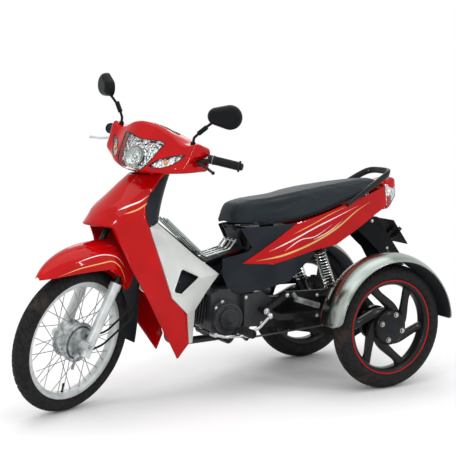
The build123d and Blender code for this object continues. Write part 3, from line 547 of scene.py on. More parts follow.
hub_profile = [(0, 38.5), (52, 38.5), (61, 37), (69, 31), (73, 23), (74, 17), (74, -16), (70, -20),
               (60, -24), (12, -24), (12, -127.5), (0, -127.5)]
cap_profile = [(0, 44), (14, 43.6), (21, 42.2), (24, 40), (26, 38), (0, 37)]
line_profile = [(185.5, 31.0), (186.2, 31.6), (189.6, 31.6), (190.3, 31.0), (190.3, 30.4), (185.5, 30.4)]


def arm_section(width, half):
    """Outline across an arm: distance beside its middle, and along the axle."""
    w = width / 2
    return [(-w, -half + 3), (-w + 4, -half), (w - 4, -half), (w, -half + 3), (w, half - 8),
            (w - 5, half - 2), (w * 0.2, half), (-w + 6, half - 4), (-w, half - 9)]


def arm(place, turn):
    """One arm of a cast wheel, turned by some degrees."""
    rings = []
    for radius, sweep, width, half in smooth_line(ARM, 4):
        angle = math.radians(sweep + turn)
        lean = angle + math.radians(60 - 0.36 * (radius - 46))
        beside = Vector((-math.sin(lean), 0, math.cos(lean)))
        middle = on_wheel(1, 0, angle) * radius
        section = arm_section(width, half)
        rings.append([place @ (middle + beside * u + Vector((0, v, 0))) for u, v in section])
    return skin(rings)


for side, name in REAR_SIDES:
    body = f"rear_wheel_{name}_body"
    place = wheel_place(f"rear_{name}_spin") @ Matrix.Diagonal((-1, side, 1, 1))
    cast = Batch(lathe(rim_profile, place, 96, closed=True), lathe(hub_profile, place, 48))
    for index in range(ARMS):
        cast.add(arm(place, 60 * index))
    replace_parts(cast.make(f"rear_wheel_{name}_cast", body, "black_paint"), f"rear_wheel_{name}")
    Batch(lathe(cap_profile, place, 32)).make(f"rear_wheel_{name}_cap", body, "black_plastic")
    Batch(lathe(line_profile, place, 96, closed=True)).make(f"rear_wheel_{name}_line", body, "red_paint")
    spots = [on_wheel(LUG_CIRCLE_R, 0, math.radians(70 + 90 * index)) for index in range(LUGS)]
    lugs = Batch(*[lathe(LUG, place @ Matrix.Translation(spot), 16) for spot in spots])
    lugs.make(f"rear_wheel_{name}_lugs", body, "chrome")

# Rear fenders: rolled chrome shells with a painted line and a dark lining
FENDER_R, FENDER_HALF, FENDER_DROP = 297.0, 74.0, 25.0
FENDER_FROM, FENDER_TO = math.radians(6), math.radians(178)
FENDER_CORNER = 34.0
FENDER_STEPS = 84
FENDER_SHEET = 1.6
FENDER_ANGLES = [FENDER_FROM + (FENDER_TO - FENDER_FROM) * step / FENDER_STEPS
                 for step in range(FENDER_STEPS + 1)]


def fender_half(angle):
    """Half width of the shell; the corners at both ends are round."""
    reach = min(angle - FENDER_FROM, FENDER_TO - angle) * FENDER_R
    if reach >= FENDER_CORNER:
        return FENDER_HALF
    return FENDER_HALF - FENDER_CORNER + math.sqrt(FENDER_CORNER ** 2 - (FENDER_CORNER - reach) ** 2)


def fender_r(offset):
    """Radius of the shell's outer face at a distance from its middle."""
    bow = (FENDER_HALF ** 2 + FENDER_DROP ** 2) / (2 * FENDER_DROP)
    return FENDER_R - bow + math.sqrt(bow * bow - offset * offset)


def fender_rings(offsets, depth, place):
    """Rings across the shell, from one height over its face to another."""
    rings = []
    for angle in FENDER_ANGLES:
        share = fender_half(angle) / FENDER_HALF
        outer = [(fender_r(y * share) + depth[0], y * share) for y in offsets]
        inner = [(r - depth[0] + depth[1], y) for r, y in reversed(outer)]
        rings.append([place @ on_wheel(r, y, angle) for r, y in outer + inner])
    return rings


def fender_edge(edge, place):
    """The line along one edge of the shell's inner face."""
    line = []
    for angle in FENDER_ANGLES:
        y = edge * fender_half(angle)
        line.append(place @ on_wheel(fender_r(y) - FENDER_SHEET, y, angle))
    return line


for side, name in REAR_SIDES:
    place = wheel_place(f"rear_{name}_spin") @ Matrix.Diagonal((1, side, 1, 1))
    across = [FENDER_HALF * (k / 12 - 1) for k in range(25)]
    loop = fender_edge(1, place) + fender_edge(-1, place)[::-1]
    shell = Batch(skin(fender_rings(across, (0.0, -FENDER_SHEET), place)))
    shell.add(tube(loop, 2.6 * MM, 8, closed=True))
    # the shell's chrome has painted reflection bands
    made = shell.make(f"rear_fender_{name}_shell", "frame", "chrome", "fender_chrome", crease=50)
    if side > 0:
        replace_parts(made, "rear_fenders")
    lining = Batch(skin(fender_rings([y * 0.965 for y in across], (-2.2, -3.4), place)))
    lining.make(f"rear_fender_{name}_lining", "frame", "black_plastic")
    line = Batch(skin(fender_rings([-63, -61.5, -60], (0.35, -0.6), place)))
    line.make(f"rear_fender_{name}_line", "frame", "red_paint")

# Coil springs on the dampers
SHOCK_TOP, SHOCK_LOW = Vector((-1035, 108, 568)), Vector((-1122, 108, 336))
COIL_R, WIRE_R, COIL_TURNS, COIL_STEPS = 21.4, 3.3, 12, 18
COIL_BELOW_TOP, COIL_ABOVE_LOW = 33, 65
shock_run = (SHOCK_LOW - SHOCK_TOP).normalized()
coil_from = SHOCK_TOP + shock_run * COIL_BELOW_TOP
coil_to = SHOCK_LOW - shock_run * COIL_ABOVE_LOW
coil_ahead = (Vector((1, 0, 0)) - shock_run * shock_run.x).normalized()
coils = Batch()
for side in SIDES:
    line = []
    for step in range(COIL_TURNS * COIL_STEPS + 1):
        share = step / (COIL_TURNS * COIL_STEPS)
        close = share + 0.018 * math.sin(2 * math.pi * share)
        angle = 2 * math.pi * COIL_TURNS * share
        spot = coil_from.lerp(coil_to, close)
        spot = spot + coil_ahead * COIL_R * math.cos(angle) + Vector((0, 1, 0)) * COIL_R * math.sin(angle)
        line.append(row(spot.x, side * spot.y, spot.z))
    coils.add(tube(line, WIRE_R * MM, 8))
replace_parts(coils.make("shock_coils", "frame", "chrome"), "shock_springs")

# Ribbed grips and the caps on the ends of the handlebar
BAR_SHOULDER, BAR_END = Vector((-384, 222, 984)), Vector((-447, 334, 973))
GRIP_RIBS = 20
BAR_CAP = [(0, 13), (8, 12.6), (12, 11), (13.4, 8), (13.4, 3), (11.0, 2.2), (0, 2.0)]
bar_out = (BAR_END - BAR_SHOULDER).normalized()
grip_profile = [(11.4, -102.0), (17.5, -102.0), (17.8, -98.0), (16.6, -96.0)]
for index in range(GRIP_RIBS):
    y = -94.0 + 4.3 * index
    grip_profile += [(16.4, y), (16.4, y + 2.4), (15.3, y + 2.9), (15.3, y + 3.8)]
grip_profile += [(16.6, -6.5), (21, -5.0), (21.4, -1.5), (20.4, 1.2), (15, 1.8), (13.5, 2.0), (11.4, 2.0)]


def knurl(angle, index):
    """Depth of the grooves along the ribbed stretch of a grip."""
    return 0.5 if 3 < index < 82 and math.sin(10 * angle) > 0.55 else 0.0


def bar_end(side):
    way = steered_way(bar_out.x, side * bar_out.y, bar_out.z)
    return along(steered(BAR_END.x, side * BAR_END.y, BAR_END.z), way)


grips = Batch(*[lathe(grip_profile, bar_end(side), 60, closed=True, lift=knurl) for side in SIDES])
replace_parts(grips.make("grip_rubbers", "steering", "soft_rubber", crease=28), "grips")
bar_caps = Batch(*[lathe(BAR_CAP, bar_end(side), 28) for side in SIDES])
bar_caps.make("bar_end_caps", "steering", "black_plastic")

# Lamps: lens, faceted reflector and bulb from the front faces of the lamp solids
AHEAD = steered_way(1, 0, 0)
LENS_WALL, REFLECTOR_WALL = 0.0022, 0.0015
LEAST_FACING = 0.2
LEAST_LOOP = 5


def facing_faces(node, direction, least):
    """The faces of a node that look along a direction, welded."""
    work = bmesh.new()
    work.from_mesh(frame["nodes"][node].data)
    bmesh.ops.remove_doubles(work, verts=work.verts, dist=1e-5)
    work.normal_update()
    away = [face for face in work.faces if face.normal.dot(direction) < least]
    bmesh.ops.delete(work, geom=away, context="FACES")
    work.verts.index_update()
    verts = [v.co.copy() for v in work.verts]
    faces = [tuple(v.index for v in face.verts) for face in work.faces]
    rims = [(edge.verts[0].index, edge.verts[1].index) for edge in work.edges if edge.is_boundary]
    work.free()
    return verts, faces, rims


def rim_loops(rims):
    """Boundary edges put in order, one list of indices for each closed loop."""
    beside = {}
    for a, b in rims:
        beside.setdefault(a, []).append(b)
        beside.setdefault(b, []).append(a)
    loops = []
    while beside:
        here = next(iter(beside))
        loop = [here]
        last = None
        while True:
            options = [n for n in beside[here] if n != last]
            if not options or options[0] == loop[0]:
                break
            last, here = here, options[0]
            loop.append(here)
            if len(loop) > len(rims):
                break
        for index in loop:
            beside.pop(index, None)
        loops.append(loop)
    return loops


def lamp(name, node, depth, gasket):
    """A lens from the front faces of a lamp, a reflector behind it and a seal round each edge."""
    verts, faces, rims = facing_faces(node, AHEAD, LEAST_FACING)
    lens = Batch((verts, faces)).make(f"{name}_lens", "steering", "clear_lens")
    thicken(lens, LENS_WALL)
    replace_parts(lens, node)
    back = Batch(([v - AHEAD * depth for v in verts], faces))
    thicken(back.make(f"{name}_reflector", "steering", "chrome", "lamp_reflector"), REFLECTOR_WALL)
    loops = [loop for loop in rim_loops(rims) if len(loop) > LEAST_LOOP]
    seal = Batch(*[tube([verts[i] for i in loop], gasket, 6, closed=True) for loop in loops])
    seal.make(f"{name}_seal", "steering", "black_plastic")


lamp("headlamp", "headlamp", 0.020, 0.0016)
lamp("front_signal", "front_signals", 0.009, 0.0012)

LAMP_TILT = 0.49
LAMP_BOWL = [(41, 11), (38, 6), (31, 0), (20, -5), (9, -7), (9, -8.5), (22, -7), (33, -2), (40, 5), (43, 11)]
LAMP_BULB = [(0, 10), (4, 9), (7, 6), (8, 2), (8, -7), (0, -7)]
AMBER_BULB = [(0, 8), (4, 7), (7, 3), (7.5, -2), (6, -8), (0, -9)]
lamp_out = steered_way(math.cos(LAMP_TILT), 0, math.sin(LAMP_TILT))
bowl_place = along(steered(-232, 0, 958) - lamp_out * 15 * MM, lamp_out)
Batch(lathe(LAMP_BOWL, bowl_place, 18, closed=True)).make("headlamp_bowl", "steering", "chrome", crease=5)
Batch(lathe(LAMP_BULB, bowl_place, 20)).make("headlamp_bulb", "steering", "steel")
amber_places = [along(steered(-268, side * 128, 956), AHEAD) for side in SIDES]
ambers = Batch(*[lathe(AMBER_BULB, place, 18) for place in amber_places])
ambers.make("front_signal_bulbs", "steering", material="amber_bulb")

# Seat pad
SEAT = [
    # x, bottom, top, half width below, half width above
    (-668, 674, 698, 52, 38), (-684, 673, 727, 76, 50), (-710, 673, 745, 92, 60),
    (-790, 674, 752, 114, 79), (-880, 679, 760, 124, 87), (-985, 694, 777, 130, 91),
    (-1070, 716, 788, 124, 87), (-1190, 748, 799, 107, 77), (-1300, 776, 806, 87, 61),
    (-1355, 789, 809, 73, 50), (-1370, 793, 806, 64, 42),
]
SEAT_CROWN = 5.0


def seat_section(x, low, top, half_low, half_top):
    mid = 0.5 * (low + top)
    right = [(half_low - 5, low), (half_low, low + 3), (half_low - 1.0, low + 10),
             (0.5 * (half_low + half_top) + 1, mid), (half_top + 7, top - 12), (half_top + 2, top - 4.5),
             (half_top - 5, top - 0.5), (half_top * 0.72, top + SEAT_CROWN * 0.45),
             (half_top * 0.36, top + SEAT_CROWN * 0.85)]
    left = [(-y, z) for y, z in reversed(right)]
    bottom = [(-half_low * 0.5, low), (0, low), (half_low * 0.5, low)]
    return [row(x, y, z) for y, z in right + [(0, top + SEAT_CROWN)] + left + bottom]


seat_rows = smooth_line(SEAT, 5)
seat = Batch(skin([seat_section(*point) for point in seat_rows]))
pad = seat.make("seat_pad", "seat_body", "seat_cover", crease=180)
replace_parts(pad, "seat")


PAD_CLOTH = dict(quality=5, mass=0.3, tension_stiffness=25, compression_stiffness=25, bending_stiffness=12,
                 use_pressure=True, vertex_group_mass="held")


def swell(shown, voxel, pressure, frames, cap, held):
    """Remeshes a pad, blows it up as cloth and keeps each point within a cap of where it was."""
    remesh = shown.modifiers.new("remesh", "REMESH")
    remesh.mode = "VOXEL"
    remesh.voxel_size = voxel
    graph = bpy.context.evaluated_depsgraph_get()
    even = bpy.data.meshes.new_from_object(shown.evaluated_get(graph))
    shown.modifiers.clear()
    shown.data = even
    rest = [v.co.copy() for v in even.vertices]
    pins = shown.vertex_groups.new(name="held")
    for v in even.vertices:
        if held(v):
            pins.add([v.index], 1.0, "REPLACE")
    cloth = shown.modifiers.new("cloth", "CLOTH")
    for key, value in PAD_CLOTH.items():
        setattr(cloth.settings, key, value)
    cloth.settings.uniform_pressure_force = pressure
    cloth.settings.effector_weights.gravity = 0
    cloth.collision_settings.use_collision = False
    scene = bpy.context.scene
    for number in range(1, frames + 1):
        scene.frame_set(number)
    graph = bpy.context.evaluated_depsgraph_get()
    moved = [v.co.copy() for v in shown.evaluated_get(graph).data.vertices]
    shown.modifiers.clear()
    scene.frame_set(1)
    for v, before, after in zip(even.vertices, rest, moved):
        shift = after - before
        if shift.length > cap:
            shift = shift.normalized() * cap
        v.co = before + shift
    even.update()
    even.shade_smooth()


swell(pad, voxel=0.005, pressure=3.0, frames=20, cap=0.005, held=lambda v: v.normal.z < -0.6)
if not pad.data.materials:
    pad.data.materials.append(MATERIALS["seat_cover"])

# Trim strip round the seat's foot
TRIM_IN, TRIM_UP, TRIM_R = 1.5, 2.6, 2.4
trim_spots = [(x, half_low - TRIM_IN, low + TRIM_UP) for x, low, top, half_low, half_top in seat_rows]
trim_line = [row(x, y, z) for x, y, z in trim_spots] + [row(x, -y, z) for x, y, z in reversed(trim_spots)]
Batch(tube(trim_line, TRIM_R * MM, 8, closed=True)).make("seat_trim", "seat_body", "black_plastic")

# Nose shell: front cover and leg shields drawn as one smooth skin
NOSE = [
    # z, side x, side y, nose x
    (879, -386, 62, -262), (847, -329, 90, -222), (772, -265, 130, -140), (700, -264, 147, -73),
]
SHIELD = [
    # z, front x, front y, rear x, rear y
    (640, -160, 106, -281, 156), (600, -168, 140, -292, 161), (552, -181, 165, -305, 168),
    (420, -256, 158, -350, 162), (350, -296, 140, -424, 143), (226, -372, 108, -446, 112),
    (170, -405, 92, -411, 92.5),
]
NOSE_COLUMNS = 12
SHIELD_COLUMNS = 8
SHIELD_BOW = 2.5
NOSE_WALL = 0.0036
SEAM_Y, COVER_Y = 108, 147
SMOOTH_PASSES, SMOOTH_FROM, SMOOTH_KEPT = 14, 8, 20


def nose_row(z, side_x, side_y, nose_x):
    """Half of the cover's outline from the middle of the nose to its side."""
    whole = arc_points((side_x, -side_y), (nose_x, 0), (side_x, side_y), 200) + [(side_x, side_y)]
    half = whole[100:]
    split = next(index for index, (x, y) in enumerate(half) if y >= side_y * SEAM_Y / COVER_Y)
    rest = len(half) - 1 - split
    picks = [round(split * k / NOSE_COLUMNS) for k in range(NOSE_COLUMNS + 1)]
    picks += [round(split + rest * k / SHIELD_COLUMNS) for k in range(1, SHIELD_COLUMNS + 1)]
    return [Vector((*half[index], z)) for index in picks]


def between(rows, per):
    """Rows of points with straight steps put between them."""
    made = []
    for upper, lower in zip(rows, rows[1:]):
        made += [[a.lerp(b, k / per) for a, b in zip(upper, lower)] for k in range(per)]
    return made + [rows[-1]]


CREASE = [(-100, 732), (-118, 742), (-148, 762), (-180, 780), (-254, 818), (-305, 838), (-340, 852)]
CREASE_HIGH, CREASE_WIDE = 8.0, 16.0
CREASE_FADE_REAR, CREASE_FADE_FRONT = 40, 30
NOSE_AXIS_X = -330


def creased(p):
    """Pushes a place of the nose outwards next to the crease that runs up its side."""
    if not CREASE[-1][0] < p.x < CREASE[0][0]:
        return p
    (x0, z0), (x1, z1) = next(pair for pair in zip(CREASE, CREASE[1:]) if pair[1][0] <= p.x <= pair[0][0])
    off = abs(p.z - (z0 + (z1 - z0) * (p.x - x0) / (x1 - x0)))
    fade = min(1.0, (p.x - CREASE[-1][0]) / CREASE_FADE_REAR, (CREASE[0][0] - p.x) / CREASE_FADE_FRONT)
    away = Vector((p.x - NOSE_AXIS_X, p.y, 0)).normalized()
    return p + away * CREASE_HIGH * fade * math.exp(-off / CREASE_WIDE)


nose_rows = between([nose_row(*line) for line in NOSE], 10)
shield_rows = [nose_rows[-1][NOSE_COLUMNS:]]
for z, front_x, front_y, rear_x, rear_y in SHIELD:
    front, rear = Vector((front_x, front_y, z)), Vector((rear_x, rear_y, z))
    points = []
    for k in range(SHIELD_COLUMNS + 1):
        bow = SHIELD_BOW * math.sin(math.pi * k / SHIELD_COLUMNS)
        points.append(front.lerp(rear, k / SHIELD_COLUMNS) + Vector((0, bow, 0)))
    shield_rows.append(points)
shield_rows = between(shield_rows, 4)
side_rows = [points[NOSE_COLUMNS:] for points in nose_rows] + shield_rows[1:]
for turn in range(SMOOTH_PASSES):
    before = [list(points) for points in side_rows]
    for index in range(SMOOTH_FROM, len(side_rows) - SMOOTH_KEPT):
        near = zip(*before[index - 1:index + 2])
        side_rows[index] = [0.25 * above + 0.5 * here + 0.25 * below for above, here, below in near]
for index, points in enumerate(nose_rows):
    seam = side_rows[index][0]
    shift = seam - points[NOSE_COLUMNS]
    inner = [p + shift * (k / NOSE_COLUMNS) ** 2 for k, p in enumerate(points[:NOSE_COLUMNS])]
    nose_rows[index] = inner + [seam]
nose_rows = [[creased(p) for p in points] for points in nose_rows]
side_rows = [[creased(p) for p in points] for points in side_rows]
nose = Batch()
for side in SIDES:
    for rows in (nose_rows, side_rows):
        half_skin = [[row(p.x, side * p.y, p.z) for p in points] for points in rows]
        nose.add(skin(half_skin, closed=False, caps=False))
nose_shell = nose.make("nose_shell", "frame", "red_paint", crease=60)
thicken(nose_shell, NOSE_WALL)
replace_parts(nose_shell, "front_cover")
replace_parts(nose_shell, "leg_shields")

# Vent frames on the side panels, and black boxes behind the vents that stand in for the shade inside them
VENT = [(-414, 520), (-504, 478), (-405, 428), (-361, 442)]
VENT_FRAME = [(2.0, -1.5), (2.0, 2.6), (5.0, 3.4), (10.0, 1.6), (11.5, -1.0)]
VENT_BOX = [(1.04, 4.0), (1.02, 16.0), (0.96, 27.0), (0.80, 30.0), (0.4, 30.0), (0.05, 30.0)]
panel_skin = surface_of("side_panels")


def project(surface, x, z, side, lift=0.0, place=TO_ROW):
    """The outermost spot of a surface at a side position, raised along its normal."""
    inward = (place.to_3x3() @ Vector((0, -side, 0))).normalized()
    spot, normal, index, gap = surface.ray_cast(place @ Vector((x, side * 500, z)), inward)
    if spot is None:
        return None
    return spot + normal * (lift if normal.dot(inward) < 0 else -lift) * MM


def rounded(points, corner, per=5):
    """A closed polygon with round corners, as points."""
    points = [Vector(p) for p in points]
    line = []
    for before, here, after in zip(points[-1:] + points[:-1], points, points[1:] + points[:1]):
        a = here + (before - here).normalized() * corner
        b = here + (after - here).normalized() * corner
        line += [a.lerp(here, k / per).lerp(here.lerp(b, k / per), k / per) for k in range(per + 1)]
    return line


vent_mid = Vector((sum(x for x, z in VENT) / 4, sum(z for x, z in VENT) / 4))
vent_line = [(spot, (spot - vent_mid).normalized()) for spot in rounded(VENT, 14)]
vent_frames, vent_shade_boxes = Batch(), Batch()
for side in SIDES:
    rings = [[project(panel_skin, *(spot + away * out), side, lift) for out, lift in VENT_FRAME]
             for spot, away in vent_line]
    rings = [ring for ring in rings if all(ring)]
    vent_frames.add(skin(rings + rings[:1], caps=False))
    # painted shade: a black box behind each vent stands in for the shaded space inside it
    rim = [project(panel_skin, *(spot + away * 5.0), side) for spot, away in vent_line]
    rim = [spot for spot in rim if spot]
    middle = sum(rim, Vector()) / len(rim)
    rings = [[middle + (p - middle) * share - Vector((0, side * deep * MM, 0)) for p in rim]
             for share, deep in VENT_BOX]
    vent_shade_boxes.add(skin(rings, caps=False))
vent_frames.make("vent_frames", "frame", "silver_panel")
vent_shade_boxes.make("vent_shade_boxes", "frame", "black_plastic")

# Rear cover of the handle cowl and the instrument panel on top of it
DOWN = steered_way(0, 0, -1)
cowl_skin = surface_of("handle_cowl")


def onto_cowl(begin, way, lift):
    """Where a ray meets the cowl, raised back along the ray."""
    return cowl_skin.ray_cast(begin, way)[0] - way * lift * MM


def from_behind(p, lift):
    """The cowl's rear face at y and z."""
    return onto_cowl(steered(-700, p.x, p.y), AHEAD, lift)


def from_above(p, lift):
    """The cowl's upper face at x and y."""
    return onto_cowl(steered(p.x, p.y, 1300), DOWN, lift)


def lid(outline, find, lift):
    """A thin lid laid on a face, with a rolled edge."""
    middle = sum(outline, Vector((0, 0))) / len(outline)
    steps = [(1.0, -1.0), (1.0, lift - 0.9), (0.975, lift)]
    steps += [(share / 20, lift) for share in range(18, 0, -1)]
    return skin([[find(middle + (p - middle) * share, high) for p in outline] for share, high in steps])


def oval(x, y, half_x, half_y, count=48):
    return [Vector((x + half_x * math.cos(t), y + half_y * math.sin(t))) for t in turns(count)]


BACK = [(-196, 1000), (-130, 1012), (0, 1020), (130, 1012), (196, 1000),
        (190, 944), (130, 930), (0, 926), (-130, 930), (-190, 944)]
DIAL_X = -372
DIAL_MID = Vector((DIAL_X, 0))
DIAL_MARKS = 11
Batch(lid(rounded(BACK, 14), from_behind, 2.5)).make("cowl_rear_cover", "steering", "black_plastic")
Batch(lid(oval(DIAL_X, 0, 44, 92), from_above, 2.0)).make("instrument_panel", "steering", "black_plastic")
face_lines = [oval(DIAL_X, 0, 34, 38)] + [oval(DIAL_X, side * 63, 17, 17, 32) for side in SIDES]
dial_faces = Batch(*[lid(line, from_above, 2.8) for line in face_lines])
dial_faces.make("dial_faces", "steering", "black_paint")
bezels, ticks = Batch(), Batch()
for y, half_x, half_y in ((0, 35, 39), (-63, 18, 18), (63, 18, 18)):
    line = [from_above(p, 2.6) for p in oval(DIAL_X, y, half_x, half_y)]
    bezels.add(tube(line, 1.5 * MM, 8, closed=True))
for k in range(DIAL_MARKS):
    turn = math.radians(-130 + 26 * k)
    way = Vector((34 * math.cos(turn), 38 * math.sin(turn)))
    ticks.add(tube([from_above(DIAL_MID + way * share, 3.0) for share in (0.72, 0.8, 0.88)], 0.7 * MM, 6))
needle = [from_above(DIAL_MID + Vector((-22, -24)) * share, 3.4) for share in (-0.2, 0.3, 0.9)]
ticks.add(tube(needle, [1.1 * MM, 0.9 * MM, 0.4 * MM], 8))
bezels.make("dial_bezels", "steering", "chrome")
ticks.make("dial_marks", "steering", "silver_panel")

# Painted stripes, laid on the covers in a plain layout of their own
STRIPES = [
    # surface, body, colour, points (x, z), widest width
    ("body_covers", "frame", "gold",
     [(-748, 524), (-860, 540), (-990, 578), (-1110, 628), (-1220, 690), (-1300, 724)], 7.0),
    ("body_covers", "frame", "white",
     [(-800, 558), (-900, 596), (-1010, 640), (-1130, 680), (-1230, 712)], 5.0),
    ("body_covers", "frame", "white", [(-866, 556), (-940, 596), (-1010, 606), (-1096, 648)], 3.5),
    ("body_covers", "frame", "gold", [(-905, 620), (-1000, 655), (-1090, 690), (-1180, 716)], 3.0),
    ("body_covers", "frame", "white", [(-1000, 592), (-1080, 622), (-1150, 662)], 3.0),
    ("nose_shell", "frame", "white", [(-165, 756), (-205, 772), (-245, 786), (-282, 806)], 5.0),
    ("nose_shell", "frame", "gold", [(-178, 742), (-225, 756), (-258, 772), (-285, 790)], 4.5),
    ("front_fender", "steering", "gold",
     [(140, 562), (60, 584), (-38, 594), (-84, 594), (-112, 574), (-138, 536), (-150, 505)], 3.5),
    ("front_fender", "steering", "white", [(70, 604), (0, 616), (-60, 618), (-110, 604), (-135, 570)], 2.5),
]
STRIPE_SECTION = ((1, 0.35), (-1, 0.35), (-1, -0.3), (1, -0.3))
for number, (node, body, colour, points, widest) in enumerate(STRIPES):
    surface = surface_of(node)
    place = TO_STEERED if body == "steering" else TO_ROW
    line = smooth_line(points, 10)
    stripe = Batch()
    for side in SIDES:
        rings = []
        for index, spot in enumerate(line):
            run = run_at(line, index)
            share = index / (len(line) - 1)
            half = 0.5 * widest * max(0.12, min(1.0, 6 * share, 2.5 * (1 - share)))
            across = Vector((-run.y, run.x)) * half
            ring = [project(surface, *(spot + across * way), side, lift, place)
                    for way, lift in STRIPE_SECTION]
            if all(ring):
                rings.append(ring)
        if len(rings) > 3:
            stripe.add(skin(rings))
    stripe.make(f"stripe_{number}", body, material=f"{colour}_line")

# Dark rubber strips between the seat's foot and the covers, which close the gap and stand in for the shade in it
BODY_TOP = [(-690, 662, 92), (-850, 668, 121), (-1000, 689, 125), (-1150, 729, 113), (-1300, 767, 89),
            (-1366, 785, 70)]
gap_shade_strips = Batch()


def seat_bottom(x):
    for (x0, low0, *rest0), (x1, low1, *rest1) in zip(SEAT, SEAT[1:]):
        if x1 <= x <= x0:
            return low0 + (low1 - low0) * (x - x0) / (x1 - x0)
    return SEAT[-1][1]


# painted shade: the strips put dark rubber where the gap under the seat is only in shade
for side in SIDES:
    spots, radii = [], []
    for spot in smooth_line(BODY_TOP, 6):
        x, high, half = spot
        room = max(2.4, seat_bottom(x) - high - 1.6)
        spots.append(row(x, side * (half - 6), high + room / 2 - 0.4))
        radii.append(0.5 * room * MM)
    gap_shade_strips.add(tube(spots, radii, 8))
gap_shade_strips.make("seat_gap_shade_strips", "frame", "soft_rubber")

# Grab rail as a broad flattened bar
RAIL = [(-1172, 118, 722), (-1290, 98, 779), (-1386, 82, 826), (-1416, 68, 839), (-1427, 42, 843),
        (-1428, 0, 844)]
RAIL_UP = Vector((-0.25, 0, 0.97))
RAIL_WIDE, RAIL_DEEP, RAIL_DEEPER = 7.0, 8.0, 5.5
RAIL_RAMP = 14
RAIL_ROUND = 0.7
rail_line = smooth_line(RAIL + [(x, -y, z) for x, y, z in reversed(RAIL[:-1])], 8)
rings = []
for index, spot in enumerate(rail_line):
    run = run_at(rail_line, index)
    up = (RAIL_UP - run * RAIL_UP.dot(run)).normalized()
    beside = run.cross(up)
    share = min(index, len(rail_line) - 1 - index) / RAIL_RAMP
    deep = RAIL_DEEP + RAIL_DEEPER * min(1.0, share)
    ring = []
    for angle in turns(20):
        c, s = math.cos(angle), math.sin(angle)
        p = spot + beside * RAIL_WIDE * math.copysign(abs(c) ** RAIL_ROUND, c)
        p = p + up * deep * math.copysign(abs(s) ** RAIL_ROUND, s)
        ring.append(row(p.x, p.y, p.z))
    rings.append(ring)
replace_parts(Batch(skin(rings)).make("grab_rail_bar", "frame", "black_paint", crease=60), "grab_rail")

# Tail cap above the lamps and the lens below them
TAIL = [
    # x, half width, low z, top z
    (-1392, 67, 752, 797), (-1420, 62.5, 758, 806), (-1448, 54, 769, 814), (-1464, 46, 780, 814),
    (-1473, 36, 789, 809), (-1477, 24, 795, 803),
]
rings = []
for x, half, low, top in smooth_line(TAIL, 5):
    outline = [(half, low), (half, 0.5 * (low + top)), (half * 0.96, top - 0.22 * (top - low)),
               (half * 0.86, top - 2.5), (half * 0.6, top + 0.5), (half * 0.3, top + 1.6)]
    outline = outline + [(0, top + 2)] + [(-y, z) for y, z in reversed(outline)]
    rings.append([row(x, y, z) for y, z in outline])
Batch(skin(rings)).make("tail_cap", "frame", "red_paint", crease=50)
LOWER_LENS = [
    # x, half width below, half width above, low z, top z
    (-1401.5, 79.5, 73, 690, 738), (-1420, 75.2, 69.5, 697, 742), (-1446, 60, 56, 717, 750),
    (-1464, 50, 48, 732, 757), (-1471.5, 44, 43, 738, 759),
]
rings = []
for x, half_low, half_top, low, top in smooth_line(LOWER_LENS, 4):
    outline = [(half_low - 4, low - 1), (half_low, low + 3), (half_top, top)]
    outline = outline + [(-y, z) for y, z in reversed(outline)]
    rings.append([row(x, y, z) for y, z in outline])
Batch(skin(rings)).make("tail_lower_lens", "frame", "red_lens", crease=40)

# Engine covers: rings, ribs and bolts
COVER_RING = [(62.2, 100), (62.2, 108), (59, 112.4), (52, 113.4), (50, 112), (50, 110)]
COVER_CAP = [(40.3, 114), (40.3, 119), (38, 121.4), (31, 121.8), (29, 120), (18, 119.6), (17, 122.6),
             (10, 123.4), (0, 123.4)]
COVER_RIBS = 6
RIB_SECTION = [(-2.2, 110), (2.2, 110), (1.4, 115), (-1.4, 115)]
cover_place = TO_ROW @ Matrix.Translation((-624, 0, 306))
cover = Batch(lathe(COVER_RING, cover_place, 64), lathe(COVER_CAP, cover_place, 48))
for index in range(COVER_RIBS):
    angle = math.radians(60 * index + 15)
    out = on_wheel(1, 0, angle)
    beside = Vector((-math.sin(angle), 0, math.cos(angle)))
    rib = [[cover_place @ (out * r + beside * u + Vector((0, y, 0))) for u, y in RIB_SECTION]
           for r in (40, 46, 53)]
    cover.add(skin(rib))
cover.make("generator_cover_relief", "frame", "engine_grey")
BOLTS = [
    # x, y, z, radius, height, sides
    (-572, 103, 352, 6.0, 5.0, (1,)), (-600, 103, 374, 6.0, 5.0, (1,)), (-572, 103, 328, 5.0, 4.0, (1,)),
    (-700, 114, 384, 6.0, 5.0, (1,)), (-770, 114, 276, 6.0, 5.0, (1,)), (-812, 114, 330, 6.0, 5.0, (1,)),
    (-1122, 162, 336, 9.0, 7.0, SIDES), (-860, 162, 386, 7.0, 6.0, SIDES),
    (-1000, 162, 374, 7.0, 6.0, SIDES), (-1000, 162, 292, 7.0, 6.0, SIDES),
    (-1035, 124, 568, 9.0, 7.0, SIDES), (-764.5, 162, 330, 11.0, 8.0, SIDES),
    (-1340, 62, 640, 6.0, 4.0, SIDES), (-1420, 62, 520, 5.0, 4.0, SIDES),
]
bolts = Batch()
for x, y, z, radius, height, sides in BOLTS:
    for side in sides:
        bolts.add(dome(row(x, side * y, z), (0, side, 0), radius, height))
bolts.make("frame_bolts", "frame", "steel")

# Camera, light and floor
CAMERA_AT = row(1652, 4117, 1266)
CAMERA_YAW = math.radians(-119.56)
CAMERA_PITCH = math.radians(-7.47)
CAMERA_LENS = 95.3
camera = show("camera", bpy.data.cameras.new("camera"))
camera.location = CAMERA_AT
look = Vector((math.cos(CAMERA_YAW) * math.cos(CAMERA_PITCH), math.sin(CAMERA_YAW) * math.cos(CAMERA_PITCH),
               math.sin(CAMERA_PITCH)))
camera.rotation_euler = look.to_track_quat("-Z", "Y").to_euler()
camera.data.lens = CAMERA_LENS
camera.data.sensor_width = 36.0
bpy.context.scene.camera = camera


